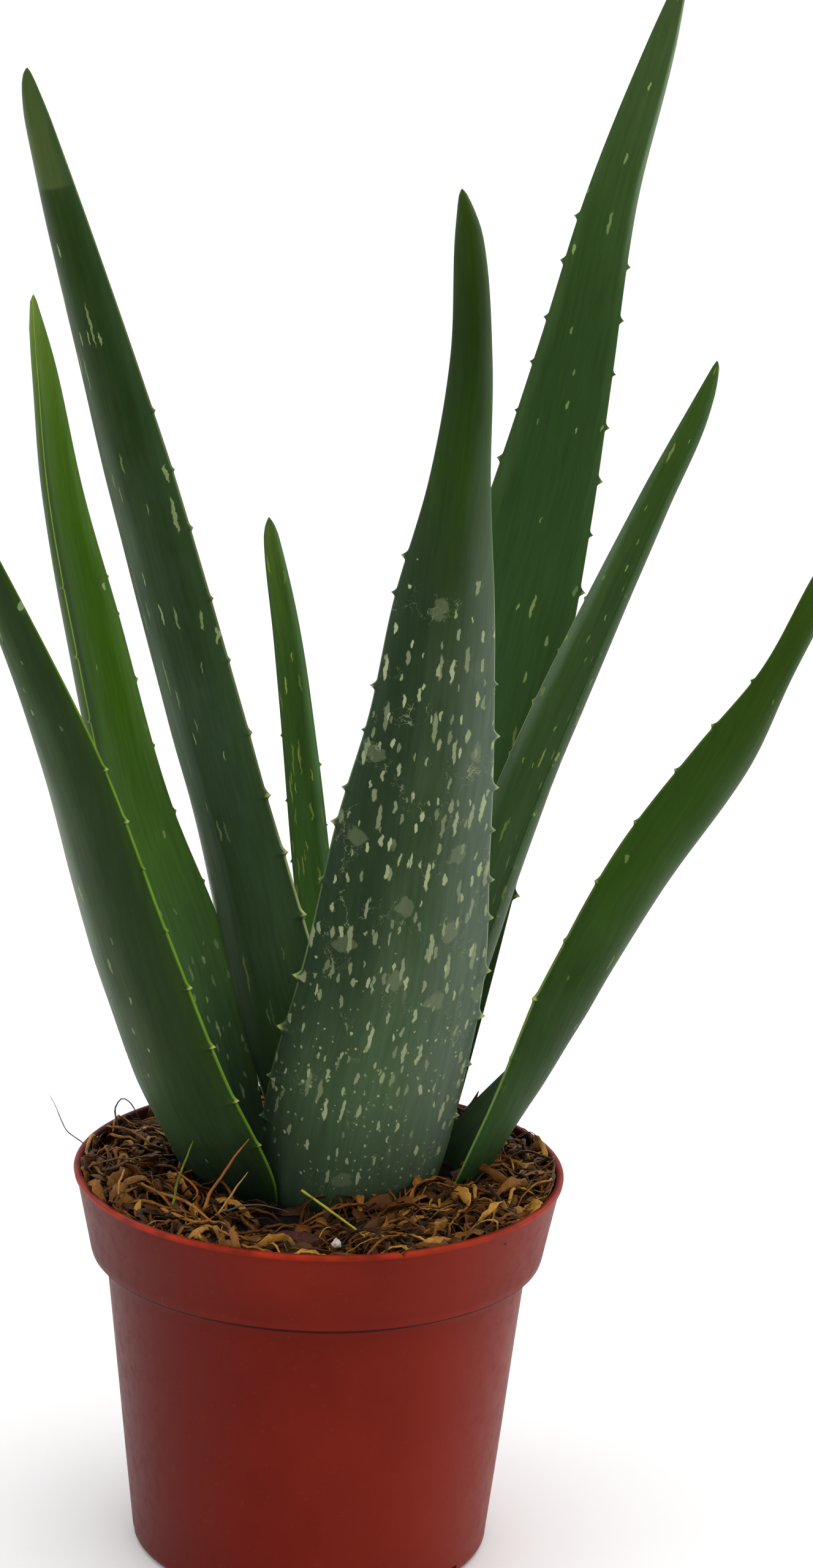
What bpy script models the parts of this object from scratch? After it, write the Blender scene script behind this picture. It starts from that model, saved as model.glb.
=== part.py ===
"""Potted aloe: a moulded nursery pot, potting mix, coir mulch and a rosette of eight leaves.

Metres, +Z up. The pot's axis is X = Y = 0 and its flat underside is at Z = 0. The sizes and lists
below are in millimetres, and MM turns them into metres.
"""
import math
from typing import NamedTuple

import bmesh
import bpy
from mathutils import Matrix, Vector, noise

MM = 0.001
FIT_GAP = 0.35

# Pot: a thin shell with a wide collar band under its lip.
POT_HEIGHT = 97.0
LIP_RADIUS = 60.0
LIP_HEIGHT = 1.4
LIP_PROUD = 0.7
BAND_HEIGHT = 21.0
BAND_FOOT_RADIUS = 55.7
BODY_TOP_RADIUS = 52.0
BODY_FOOT_RADIUS = 44.2
FOOT_CORNER = 2.4
WALL = 1.1
FLOOR = 1.6
POT_SEGMENTS = 48
DRAIN_SLOTS = 8
DRAIN_FIRST_ANGLE = -40.0
DRAIN_CENTRE_RADIUS = 43.0
DRAIN_SIZE = (8.0, 9.0, 6.0)
DRAIN_CORNER = 2.4

# Rosette foot: an oval well in the mix, with the stem's bore in its floor.
ROSETTE_CENTRE = (4.0, 12.0)
ROSETTE_RADII = (41.5, 31.5)
WELL_FLOOR = 86.0
STEM_RADIUS = 6.5
STEM_FOOT = 46.0
STEM_TOP = 93.0

# Mix and mulch surfaces.
MIX_AT_WALL = 90.0
MIX_AT_ROSETTE = 89.5
MIX_ROUGHNESS = 0.7
MULCH_LIFT = 0.9
MULCH_DEPTH = 2.2
MULCH_ROUGHNESS = 0.5
MULCH_OUTER = 0.05
MULCH_REACH = 0.78
SURFACE_SIDES = POT_SEGMENTS

# Bare hollow at the front left, where the mulch stops short of the leaves.
HOLLOW_ANGLE = 240
HOLLOW_WIDTH = 32
HOLLOW_SETBACK = 0.30

LEAF_FOOT = WELL_FLOOR + FIT_GAP + 0.05
LEAF_ROWS = 15
LEAF_FACE_POINTS = 5
LEVEL_FOOT_SHARE = 0.05
CLASP_SHARE = 0.35
CLASP_HOLLOW = 0.42
CLASP_THINNING = 0.4
FLESH_SHARE = 0.28
FLESH_LEAST = 1.6
LAST_ROW = 0.985
TIP_PULL = 0.35


# Single strands that stand clear of the mulch: radius, colour and the points of their run.
STRANDS = {
    "straw_green": (0.55, (0.30, 0.33, 0.06), [(-35, -24, 94.8), (-33.5, -20, 101), (-30.5, -14, 108)]),
    "strand_orange": (0.60, (0.42, 0.17, 0.02), [(-27.5, -27, 94.8), (-26, -25, 98.5), (-22.5, -24, 104),
                                                 (-20, -23.5, 108), (-17, -23, 112)]),
    "strand_pale": (0.45, (0.38, 0.36, 0.20), [(-24, -29, 94.6), (-20.5, -26.5, 99.5), (-17, -24, 104)]),
    "strand_tan_upper": (0.70, (0.40, 0.22, 0.06), [(-43.5, -12, 94.8), (-38, -17, 95.2), (-31.5, -24, 95.8),
                                                    (-27.5, -31, 95.6), (-24, -37.5, 94.9)]),
    "strand_tan_long": (0.70, (0.43, 0.22, 0.05), [(-38.5, -25, 94.7), (-32, -33, 95.2), (-24.5, -41, 96),
                                                   (-18, -50.5, 97)]),
    "strand_dark": (0.50, (0.10, 0.12, 0.10), [(-22.5, -30, 96.1), (-17, -27, 96.6), (-11, -26, 96),
                                               (-7, -27, 94.9)]),
    "straw_yellow": (0.55, (0.42, 0.40, 0.08), [(-4, -21, 98.5), (3, -29, 96.5), (8, -38, 96.3),
                                                (11.5, -47, 97)]),
    "strand_bent": (0.50, (0.38, 0.17, 0.05), [(-34, -15, 100), (-30.5, -18.5, 98.5), (-29, -22, 97.5),
                                               (-30, -26, 97.2)]),
    "strand_right": (0.70, (0.40, 0.26, 0.07), [(48, 12, 95.5), (48.5, 3, 95), (49, -5, 94.8),
                                                (45, -18, 94.8), (41, -29, 95)]),
    "hair_left": (0.35, (0.20, 0.20, 0.20), [(-54.5, 5.5, 95.5), (-58.5, 7.5, 98.6), (-62.5, 11, 100.2),
                                             (-65, 16, 103), (-67.5, 21, 106)]),
    "hair_loop": (0.40, (0.20, 0.20, 0.20), [(-50, 24, 95), (-51.5, 25.5, 101), (-49.8, 26.5, 103.6),
                                             (-47.5, 27, 102), (-44.5, 28, 95.5)]),
}
STRAND_STEPS = 9

# Bark chips: thickness, colour and outline corners. The standing one's corners are (x, z) and the
# lying one's are (x, y).
STANDING_CHIP = (1.4, (0.07, 0.018, 0.012), [(33, 94.4), (35.2, 96.6), (34.6, 99), (36.6, 98.3),
                                             (38, 100), (40, 103.5), (39, 98.6), (36.8, 94.7)])
STANDING_CHIP_Y = 41.0
LYING_CHIP = (1.6, (0.16, 0.06, 0.02), [(-12, -45), (-8, -41), (-2, -42), (1, -45), (-1.5, -48.5),
                                        (-10.5, -48)])
LYING_CHIP_Z = 94.4
CHIP_EDGE = 0.25

# Perlite grains: middle and radius.
PERLITE_GRAINS = {
    "perlite_grain_front": ((4.5, -48.5, 95.8), 1.2),
    "perlite_grain_right": ((41, -8, 95.6), 1.1),
}


class Leaf(NamedTuple):
    """A leaf from its foot to its tip.

    stations: (x, y, z, half width) of the middle of the leaf, between its two margins.
    faces: compass direction in degrees that the inner face turns to, at the foot and at the tip.
    channel: depth of the inner face's hollow, as a share of the half width.
    """
    stations: list
    faces: tuple
    channel: float
    colour: tuple


LEAVES = {
    "leaf_front": Leaf(
        [(6, -3.5, LEAF_FOOT, 17.5), (7, -5, 98, 21.5), (10, -8, 118, 23), (16.5, -14, 152, 21.7),
         (19.5, -20, 185, 18.8), (23, -26, 216, 15), (25, -30, 246, 11.8), (27.5, -34, 276, 7.2),
         (29, -37, 305, 4.8), (27.5, -38, 332, 3.3), (25, -38, 346, 0)],
        (90, 95), 0.12, (0.040, 0.110, 0.045)),
    "leaf_front_left": Leaf(
        [(-19.5, 4, LEAF_FOOT, 15), (-22.5, 1, 98, 17.5), (-34, -9, 125, 18), (-47, -21, 165, 16),
         (-58.5, -32, 205, 12), (-71.5, -42, 240, 7.8), (-81, -51, 264, 5), (-88, -57, 282, 0)],
        (42, 42), 0.12, (0.035, 0.105, 0.045)),
    "leaf_left_bright": Leaf(
        [(-14, 8, LEAF_FOOT, 9), (-18.5, 7, 100, 11), (-30.5, 5.5, 145, 14.5), (-45.5, 11, 184, 13),
         (-57, 18, 226, 10.8), (-65.3, 23, 258, 7.7), (-70.5, 26, 288, 4.2), (-74.5, 28, 308, 0)],
        (-28, -28), 0.25, (0.070, 0.200, 0.030)),
    "leaf_left_tall": Leaf(
        [(0.5, 8.5, LEAF_FOOT, 11.5), (-2, 13.5, 104, 14), (-20, 15, 172, 15.5), (-29, 9, 205, 14.5),
         (-46, 4, 266, 12.5), (-54.3, 1, 295, 10.3), (-70.8, -3, 351, 4.3), (-74.5, -4, 366, 0)],
        (42, 42), 0.12, (0.030, 0.100, 0.040)),
    "leaf_centre_young": Leaf(
        [(1, 20.5, LEAF_FOOT, 7.5), (0.5, 21.5, 104, 7), (1, 24, 125, 5.6), (-4, 28, 166, 5.3),
         (-7.5, 31, 194, 4.6), (-11.5, 34, 222, 3.6), (-16, 36, 246, 2), (-17, 36.5, 253, 0)],
        (-50, -72), 0.3, (0.090, 0.210, 0.030)),
    "leaf_back_right_tall": Leaf(
        [(11, 23, LEAF_FOOT, 16), (14, 27, 100, 19), (29, 44, 160, 19), (42.3, 58, 215, 17),
         (50.7, 66, 250, 14), (58, 74, 285, 10.6), (66, 82, 325, 7), (77, 90, 362, 4),
         (84.5, 96, 388, 0)],
        (256, 240), 0.12, (0.035, 0.120, 0.040)),
    "leaf_right_rear": Leaf(
        [(17, 11, LEAF_FOOT, 10), (20, 14.5, 98, 11), (34, 23, 150, 11.2), (46.3, 28, 187, 10),
         (60.5, 33, 222, 8.3), (76, 39, 257, 5.8), (85.4, 42, 277, 4), (92, 44, 294, 0)],
        (205, 205), 0.3, (0.060, 0.150, 0.035)),
    "leaf_right": Leaf(
        [(28.5, 8, LEAF_FOOT, 13), (32, 6, 97, 15), (48, 1, 126, 14.3), (61, -2, 152, 13.2),
         (74.5, -5, 178, 12.2), (92.5, -8, 206, 9.7), (104, -10, 227, 4.8), (114, -12, 250, 3.8),
         (123, -13, 274, 0)],
        (165, 112), 0.18, (0.045, 0.135, 0.040)),
}


def clear_scene():
    """Remove every object, so that only the plant and its pot are left."""
    for item in list(bpy.data.objects):
        bpy.data.objects.remove(item, do_unlink=True)


def plain_material(name, colour, roughness):
    """A Principled material in one colour."""
    material = bpy.data.materials.new(name)
    material.use_nodes = True
    shader = material.node_tree.nodes["Principled BSDF"]
    shader.inputs["Base Color"].default_value = (*colour, 1.0)
    shader.inputs["Roughness"].default_value = roughness
    shader.inputs["Metallic"].default_value = 0.0
    return material


def add_mesh_object(name, bm, material, smooth_angle=40.0):
    """Turn a bmesh in millimetres into an object in metres, with outward faces."""
    bmesh.ops.recalc_face_normals(bm, faces=bm.faces)
    bmesh.ops.scale(bm, vec=(MM, MM, MM), verts=bm.verts)
    mesh = bpy.data.meshes.new(name)
    bm.to_mesh(mesh)
    bm.free()
    mesh.materials.append(material)
    mesh.shade_smooth()
    mesh.set_sharp_from_angle(angle=math.radians(smooth_angle))
    item = bpy.data.objects.new(name, mesh)
    bpy.context.scene.collection.objects.link(item)
    return item


def smooth_through(stations, fraction):
    """Value at a fraction of the run of a smooth curve through the stations, spaced by distance."""
    marks = [0.0]
    for here, there in zip(stations, stations[1:]):
        marks.append(marks[-1] + math.dist(here[:3], there[:3]))
    target = fraction * marks[-1]
    index = max(i for i in range(len(marks) - 1) if marks[i] <= target)

    def slope(i):
        before = max(i - 1, 0)
        after = min(i + 1, len(marks) - 1)
        span = marks[after] - marks[before]
        return [(b - a) / span for a, b in zip(stations[before], stations[after])]

    span = marks[index + 1] - marks[index]
    t = (target - marks[index]) / span
    weights = (2 * t**3 - 3 * t**2 + 1, (t**3 - 2 * t**2 + t) * span,
               3 * t**2 - 2 * t**3, (t**3 - t**2) * span)
    columns = zip(stations[index], slope(index), stations[index + 1], slope(index + 1))
    return [sum(w * v for w, v in zip(weights, values)) for values in columns]


def stack_rings(bm, rings, close_run=False):
    """Join rings of equal point count with quads; an open run gets a face on each end."""
    loops = [[bm.verts.new(point) for point in ring] for ring in rings]
    count = len(loops[0])
    pairs = list(zip(loops, loops[1:]))
    if close_run:
        pairs.append((loops[-1], loops[0]))
    else:
        bm.faces.new(loops[0])
        bm.faces.new(loops[-1])
    for lower, upper in pairs:
        for i in range(count):
            j = (i + 1) % count
            bm.faces.new((lower[i], lower[j], upper[j], upper[i]))
    return loops


# ---------------------------------------------------------------- pot


def pot_outside():
    """Pot's outer outline (radius, height), from its underside's centre to its lip."""
    band_foot = POT_HEIGHT - BAND_HEIGHT
    band_top = POT_HEIGHT - LIP_HEIGHT
    return [(0, 0), (BODY_FOOT_RADIUS - FOOT_CORNER, 0),
            (BODY_FOOT_RADIUS - 0.3 * FOOT_CORNER, 0.3 * FOOT_CORNER),
            (BODY_FOOT_RADIUS, FOOT_CORNER), (BODY_TOP_RADIUS, band_foot - 0.6),
            (BAND_FOOT_RADIUS - 0.8, band_foot), (BAND_FOOT_RADIUS, band_foot + 0.8),
            (LIP_RADIUS - LIP_PROUD, band_top), (LIP_RADIUS, band_top + 0.3),
            (LIP_RADIUS, POT_HEIGHT - 0.3), (LIP_RADIUS - 0.3, POT_HEIGHT)]


def pot_inside():
    """Pot's inner outline (radius, height), from its lip to the middle of its floor."""
    ledge = POT_HEIGHT - BAND_HEIGHT + WALL
    lip_inner = LIP_RADIUS - LIP_PROUD - WALL
    return [(lip_inner + 0.3, POT_HEIGHT), (lip_inner, POT_HEIGHT - 0.3),
            (BAND_FOOT_RADIUS - WALL, ledge + 0.6), (BODY_TOP_RADIUS - WALL, ledge - 0.6),
            (BODY_FOOT_RADIUS - WALL, FLOOR + 1.6), (BODY_FOOT_RADIUS - WALL - 1.6, FLOOR),
            (0, FLOOR)]


def turned_body(outline, segments):
    """Spin an outline (radius, height) that starts and ends on the axis."""
    bm = bmesh.new()
    points = [bm.verts.new((radius, 0, height)) for radius, height in outline]
    edges = [bm.edges.new(pair) for pair in zip(points, points[1:])]
    bmesh.ops.spin(bm, geom=points + edges, cent=(0, 0, 0), axis=(0, 0, 1),
                   angle=2 * math.pi, steps=segments)
    bmesh.ops.remove_doubles(bm, verts=bm.verts, dist=1e-3)
    return bm


def drain_cutter():
    """Round-ended blocks that cut the drain slots through the corner of the pot's foot."""
    bm = bmesh.new()
    for slot in range(DRAIN_SLOTS):
        angle = math.radians(DRAIN_FIRST_ANGLE + slot * 360 / DRAIN_SLOTS)
        turn = Matrix.Rotation(angle, 4, "Z")
        place = turn @ Matrix.Translation((DRAIN_CENTRE_RADIUS, 0, 0)) @ Matrix.Diagonal((*DRAIN_SIZE, 1))
        block = bmesh.ops.create_cube(bm, size=1.0, matrix=place)
        upright = [edge for edge in bm.edges
                   if edge.verts[0] in block["verts"] and abs((edge.verts[0].co - edge.verts[1].co).z) > 1]
        bmesh.ops.bevel(bm, geom=upright, offset=DRAIN_CORNER, segments=2, affect="EDGES")
    cutter = add_mesh_object("drain_cutter", bm, plain_material("cutter", (1, 1, 1), 0.5))
    cutter.hide_render = True
    cutter.display_type = "WIRE"
    return cutter


def build_pot():
    """Pot shell with its drain slots."""
    material = plain_material("terracotta_plastic", (0.150, 0.018, 0.010), 0.5)
    pot = add_mesh_object("pot", turned_body(pot_outside() + pot_inside(), POT_SEGMENTS), material, 30)
    cut = pot.modifiers.new("drain_slots", "BOOLEAN")
    cut.operation = "DIFFERENCE"
    cut.solver = "EXACT"
    cut.object = drain_cutter()
    return pot


# ---------------------------------------------------------------- mix, stem and mulch


def inner_radius(height):
    """Pot's inner radius at a height inside its collar band."""
    low = pot_inside()[2]
    high = pot_inside()[1]
    share = (height - low[1]) / (high[1] - low[1])
    return low[0] + share * (high[0] - low[0])


def surface_point(angle, share, lift):
    """Point over the mix's top; share runs from 0 at the pot's wall to 1 at the rosette's well."""
    wall = inner_radius(MIX_AT_WALL) - FIT_GAP
    outer = Vector((wall * math.cos(angle), wall * math.sin(angle)))
    inner = Vector((ROSETTE_CENTRE[0] + ROSETTE_RADII[0] * math.cos(angle),
                    ROSETTE_CENTRE[1] + ROSETTE_RADII[1] * math.sin(angle)))
    flat = outer.lerp(inner, share)
    height = MIX_AT_WALL + share * (MIX_AT_ROSETTE - MIX_AT_WALL)
    bump = MIX_ROUGHNESS * noise.noise(Vector((flat.x, flat.y, 0)) / 9)
    return (flat.x, flat.y, height + bump * math.sin(math.pi * share) + lift)


def around():
    """Angles of the points on each ring of the mix and the mulch."""
    return [2 * math.pi * i / SURFACE_SIDES for i in range(SURFACE_SIDES)]


def round_ring(radius, height, centre=(0, 0)):
    """A level ring of points."""
    return [(centre[0] + radius * math.cos(a), centre[1] + radius * math.sin(a), height)
            for a in around()]


def build_potting_mix():
    """Mix that fills the pot, with the rosette's well and the stem's bore in its top."""
    gap = FIT_GAP * 2
    corner, floor_edge = pot_inside()[4], pot_inside()[5]
    ledge, collar = pot_inside()[3], pot_inside()[2]
    well = [(ROSETTE_CENTRE[0] + ROSETTE_RADII[0] * math.cos(a),
             ROSETTE_CENTRE[1] + ROSETTE_RADII[1] * math.sin(a), WELL_FLOOR) for a in around()]
    bore = STEM_RADIUS + FIT_GAP
    rings = [round_ring(floor_edge[0] - gap, floor_edge[1] + gap),
             round_ring(corner[0] - gap, corner[1] + gap),
             round_ring(ledge[0] - gap, ledge[1] + gap),
             round_ring(collar[0] - gap, collar[1] + gap)]
    rings += [[surface_point(a, share, 0) for a in around()] for share in (0, 0.3, 0.65, 1)]
    rings += [well, round_ring(bore, WELL_FLOOR, ROSETTE_CENTRE),
              round_ring(bore, STEM_FOOT - FIT_GAP, ROSETTE_CENTRE)]
    bm = bmesh.new()
    stack_rings(bm, rings)
    return add_mesh_object("potting_mix", bm, plain_material("potting_mix", (0.012, 0.009, 0.007), 0.95))


def build_stem():
    """Short stem that the leaves clasp, standing in the mix."""
    outline = [(0, STEM_FOOT), (STEM_RADIUS - 1.5, STEM_FOOT), (STEM_RADIUS, STEM_FOOT + 3),
               (STEM_RADIUS, STEM_TOP - 12), (STEM_RADIUS - 2.5, STEM_TOP - 3), (0, STEM_TOP)]
    bm = turned_body(outline, 16)
    stem = add_mesh_object("stem", bm, plain_material("stem", (0.25, 0.22, 0.10), 0.7))
    stem.location = (ROSETTE_CENTRE[0] * MM, ROSETTE_CENTRE[1] * MM, 0)
    return stem


def mulch_reach(angle):
    """How near the mulch comes to the rosette, less over the bare hollow."""
    bare = math.exp(-((math.degrees(angle) - HOLLOW_ANGLE) / HOLLOW_WIDTH) ** 2)
    return MULCH_REACH - HOLLOW_SETBACK * bare


def mulch_top(angle, share):
    """Point on the mulch's uneven top."""
    flat = Vector(surface_point(angle, share, 0))
    ridge = MULCH_ROUGHNESS * noise.noise(Vector((flat.x, flat.y, 40)) / 7)
    return surface_point(angle, share, MULCH_LIFT + MULCH_DEPTH + ridge)


def build_mulch():
    """Coir mulch, as one mat that lies on the mix between the pot's wall and the leaves."""
    def ring(part, top):
        points = []
        for a in around():
            share = MULCH_OUTER + part * (mulch_reach(a) - MULCH_OUTER)
            points.append(mulch_top(a, share) if top else surface_point(a, share, MULCH_LIFT))
        return points

    rings = [ring(part, False) for part in (0, 0.35, 0.7, 1)]
    rings += [ring(part, True) for part in (0.92, 0.62, 0.32, 0.06)]
    bm = bmesh.new()
    stack_rings(bm, rings, close_run=True)
    return add_mesh_object("coir_mulch", bm, plain_material("coir", (0.180, 0.085, 0.025), 0.9))


# ---------------------------------------------------------------- leaves


def leaf_ring(leaf, fraction):
    """Cross-section of a leaf: a hollow inner face and a full, rounded outer face."""
    x, y, z, half_width = smooth_through(leaf.stations, fraction)
    ahead = Vector(smooth_through(leaf.stations, min(fraction + 0.01, 1))[:3])
    behind = Vector(smooth_through(leaf.stations, max(fraction - 0.01, 0))[:3])
    level = max(1 - fraction / LEVEL_FOOT_SHARE, 0)
    along = (ahead - behind).normalized().lerp(Vector((0, 0, 1)), level).normalized()
    face = math.radians(leaf.faces[0] + fraction * (leaf.faces[1] - leaf.faces[0]))
    inward = Vector((math.cos(face), math.sin(face), 0))
    inward = (inward - inward.dot(along) * along).normalized()
    across = along.cross(inward)
    clasp = max(1 - fraction / CLASP_SHARE, 0) ** 2
    hollow = half_width * (leaf.channel + (CLASP_HOLLOW - leaf.channel) * clasp)
    flesh = (FLESH_SHARE * half_width + FLESH_LEAST) * (1 - CLASP_THINNING * clasp)
    middle = Vector((x, y, z))

    def place(u, depth):
        return middle + across * (u * half_width) - inward * depth

    steps = [math.cos(math.pi * i / (LEAF_FACE_POINTS + 1)) for i in range(1, LEAF_FACE_POINTS + 1)]
    inner = [place(-u, hollow * (1 - u * u)) for u in steps]
    outer = [place(u, hollow * (1 - u * u) + flesh * (1 - u * u) ** 0.75) for u in steps]
    return [place(-1, 0), *inner, place(1, 0), *outer]


def build_leaf(name, leaf):
    """Leaf lofted through its cross-sections to a pointed tip."""
    fractions = [LAST_ROW * math.sin(0.5 * math.pi * i / (LEAF_ROWS - 1)) ** 1.15 for i in range(LEAF_ROWS)]
    bm = bmesh.new()
    loops = stack_rings(bm, [leaf_ring(leaf, fraction) for fraction in fractions])
    for vert in loops[-1]:
        vert.co = vert.co.lerp(Vector(leaf.stations[-1][:3]), TIP_PULL)
    return add_mesh_object(name, bm, plain_material(name, leaf.colour, 0.45), 60)


# ---------------------------------------------------------------- loose bits on the mulch


def build_strand(name, radius, colour, route):
    """Strand as a thin tube along a smooth curve through its route."""
    curve = bpy.data.curves.new(name, "CURVE")
    curve.dimensions = "3D"
    curve.bevel_depth = radius * MM
    curve.bevel_resolution = 1
    curve.use_fill_caps = True
    spline = curve.splines.new("POLY")
    spline.points.add(STRAND_STEPS - 1)
    for step, point in enumerate(spline.points):
        place = smooth_through(route, step / (STRAND_STEPS - 1))
        point.co = (*(value * MM for value in place), 1)
    curve.materials.append(plain_material(name, colour, 0.7))
    strand = bpy.data.objects.new(name, curve)
    bpy.context.scene.collection.objects.link(strand)
    return strand


def build_chip(name, thickness, colour, corners):
    """Flat chip cut to an outline, with its edges broken."""
    bm = bmesh.new()
    outline = bm.faces.new([bm.verts.new((x, y, 0)) for x, y in corners])
    block = bmesh.ops.extrude_face_region(bm, geom=[outline])
    raised = [item for item in block["geom"] if isinstance(item, bmesh.types.BMVert)]
    bmesh.ops.translate(bm, vec=(0, 0, thickness), verts=raised)
    bmesh.ops.bevel(bm, geom=list(bm.edges), offset=CHIP_EDGE, segments=1, affect="EDGES")
    return add_mesh_object(name, bm, plain_material(name, colour, 0.85))


def build_perlite(name, middle, radius):
    """Rounded, knobbly grain."""
    bm = bmesh.new()
    bmesh.ops.create_icosphere(bm, subdivisions=2, radius=radius)
    for vert in bm.verts:
        vert.co *= 1 + 0.35 * noise.noise(vert.co * 1.3 + Vector(middle))
    grain = add_mesh_object(name, bm, plain_material(name, (0.75, 0.73, 0.68), 0.8))
    grain.location = Vector(middle) * MM
    return grain


def main():
    """Build every piece."""
    clear_scene()
    build_pot()
    build_potting_mix()
    build_stem()
    build_mulch()
    for name, leaf in LEAVES.items():
        build_leaf(name, leaf)
    for name, strand in STRANDS.items():
        build_strand(name, *strand)
    standing = build_chip("bark_chip_back", *STANDING_CHIP)
    standing.rotation_euler = (math.radians(90), 0, 0)
    standing.location = (0, STANDING_CHIP_Y * MM, 0)
    lying = build_chip("bark_chip_front", *LYING_CHIP)
    lying.location = (0, 0, LYING_CHIP_Z * MM)
    for name, grain in PERLITE_GRAINS.items():
        build_perlite(name, *grain)


main()
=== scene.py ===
"""Looks of the potted aloe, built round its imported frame.

Metres, +Z up, -Y towards the viewer. Lists of places and sizes are in millimetres, and MM turns
them into metres. Colours are 8-bit screen values, which screen() turns into linear light.
"""
import math
import random
from typing import NamedTuple

import bmesh
import bpy
from mathutils import Matrix, Vector, noise


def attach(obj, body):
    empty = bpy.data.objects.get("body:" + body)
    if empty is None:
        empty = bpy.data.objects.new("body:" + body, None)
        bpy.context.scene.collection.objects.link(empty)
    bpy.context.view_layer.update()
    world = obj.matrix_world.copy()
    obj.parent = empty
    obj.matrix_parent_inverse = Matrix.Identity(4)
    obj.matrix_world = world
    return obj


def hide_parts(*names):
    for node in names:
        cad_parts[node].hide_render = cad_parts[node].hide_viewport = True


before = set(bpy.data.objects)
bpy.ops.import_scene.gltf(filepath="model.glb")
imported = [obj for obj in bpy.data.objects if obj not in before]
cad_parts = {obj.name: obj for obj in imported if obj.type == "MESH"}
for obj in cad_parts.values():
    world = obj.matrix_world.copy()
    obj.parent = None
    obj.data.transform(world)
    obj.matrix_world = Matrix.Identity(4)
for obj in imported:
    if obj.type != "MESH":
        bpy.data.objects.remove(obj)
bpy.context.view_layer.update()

MM = 0.001
BODY = "root"

# Camera, floor and light.
CAMERA_PLACE = (0.0, -1.0300, 0.4831)
CAMERA_VIEW = (0.01709, 0.96288, -0.26939)
CAMERA_ROLL = 1.918
CAMERA_LENS = 102.5
SENSOR = 36.0
FLOOR_RADIUS = 4.0

# Each light's place, aim, side in metres and power in watts.
LIGHTS = {
    "key_light": ((0.6, -0.2, 1.9), (0, 0.3, 0.0), 2.4, 18.0),
    "fill_light": ((-1.4, -0.4, 0.9), (0, 0, 0.2), 1.2, 3.8),
    "floor_light": ((0, 3.2, 1.6), (0, 3.2, 0), 2.4, 9.0),
}

# Pot.
POT_HEIGHT = 97.0
LIP_RADIUS = 60.0
LIP_HEIGHT = 1.4
LIP_PROUD = 0.7
BAND_HEIGHT = 21.0
BAND_FOOT_RADIUS = 55.7
BODY_TOP_RADIUS = 52.0
BODY_FOOT_RADIUS = 44.2
FOOT_CORNER = 2.4
WALL = 1.1
FLOOR = 1.6
POT_SEGMENTS = 360
DRAIN_SLOTS = 8
DRAIN_FIRST_ANGLE = -40.0
DRAIN_CENTRE_RADIUS = 43.0
DRAIN_SIZE = (8.0, 9.0, 6.0)
DRAIN_CORNER = 2.4
NICK_ANGLE = -70
NICK_DEPTH = 1.0
LIP_INNER = LIP_RADIUS - LIP_PROUD - WALL
BAND_INNER = BAND_FOOT_RADIUS - WALL
BODY_INNER = BODY_TOP_RADIUS - WALL
FOOT_INNER = BODY_FOOT_RADIUS - WALL
LEDGE = POT_HEIGHT - BAND_HEIGHT + WALL

# Rosette foot, mix and mulch.
ROSETTE_CENTRE = (4.0, 12.0)
ROSETTE_RADII = (41.5, 31.5)
LEAF_FOOT = 86.4
MIX_TOP = 90.0
MIX_FOOT = 60.0
HOLLOW_ANGLE = 240.0
HOLLOW_WIDTH = 30.0

# Leaves.
ROW_STEP = 2.0
FACE_POINTS = 19
TIP_SHARE = 0.99
TIP_ROWS = (1.2, 0.7, 0.35, 0.12)
TIP_CLOSING = 1.6
ROW_GAP = 0.09
MARGIN_START = 0.93
MARGIN_WIDTH = 0.07
MAP_SPACING = 11.0
ROOT_SHARE = 0.05
CLASP_SHARE = 0.35
CLASP_HOLLOW = 0.42
CLASP_THINNING = 0.4
FLESH_SHARE = 0.28
FLESH_LEAST = 1.6
TIP_PULL = 2.2

# A tooth, in multiples of its length: rows of points along it, reach past and before its point, and rise.
TOOTH_ROWS = (-1.5, -1.0, -0.65, -0.38, -0.18, 0.0, 0.16, 0.38, 0.7, 1.1, 1.6, 2.2, 3.0)
TOOTH_PAST = 1.45
TOOTH_BEFORE = 0.8
TOOTH_SHARPNESS = 1.9
TOOTH_SPAN = 3.2
TOOTH_RISE = 0.22


# ---------------------------------------------------------------- node trees


def screen(red, green, blue):
    """Linear colour of an 8-bit screen value."""
    def linear(value):
        share = value / 255
        return share / 12.92 if share <= 0.04045 else ((share + 0.055) / 1.055) ** 2.4
    return (linear(red), linear(green), linear(blue), 1.0)


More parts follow.
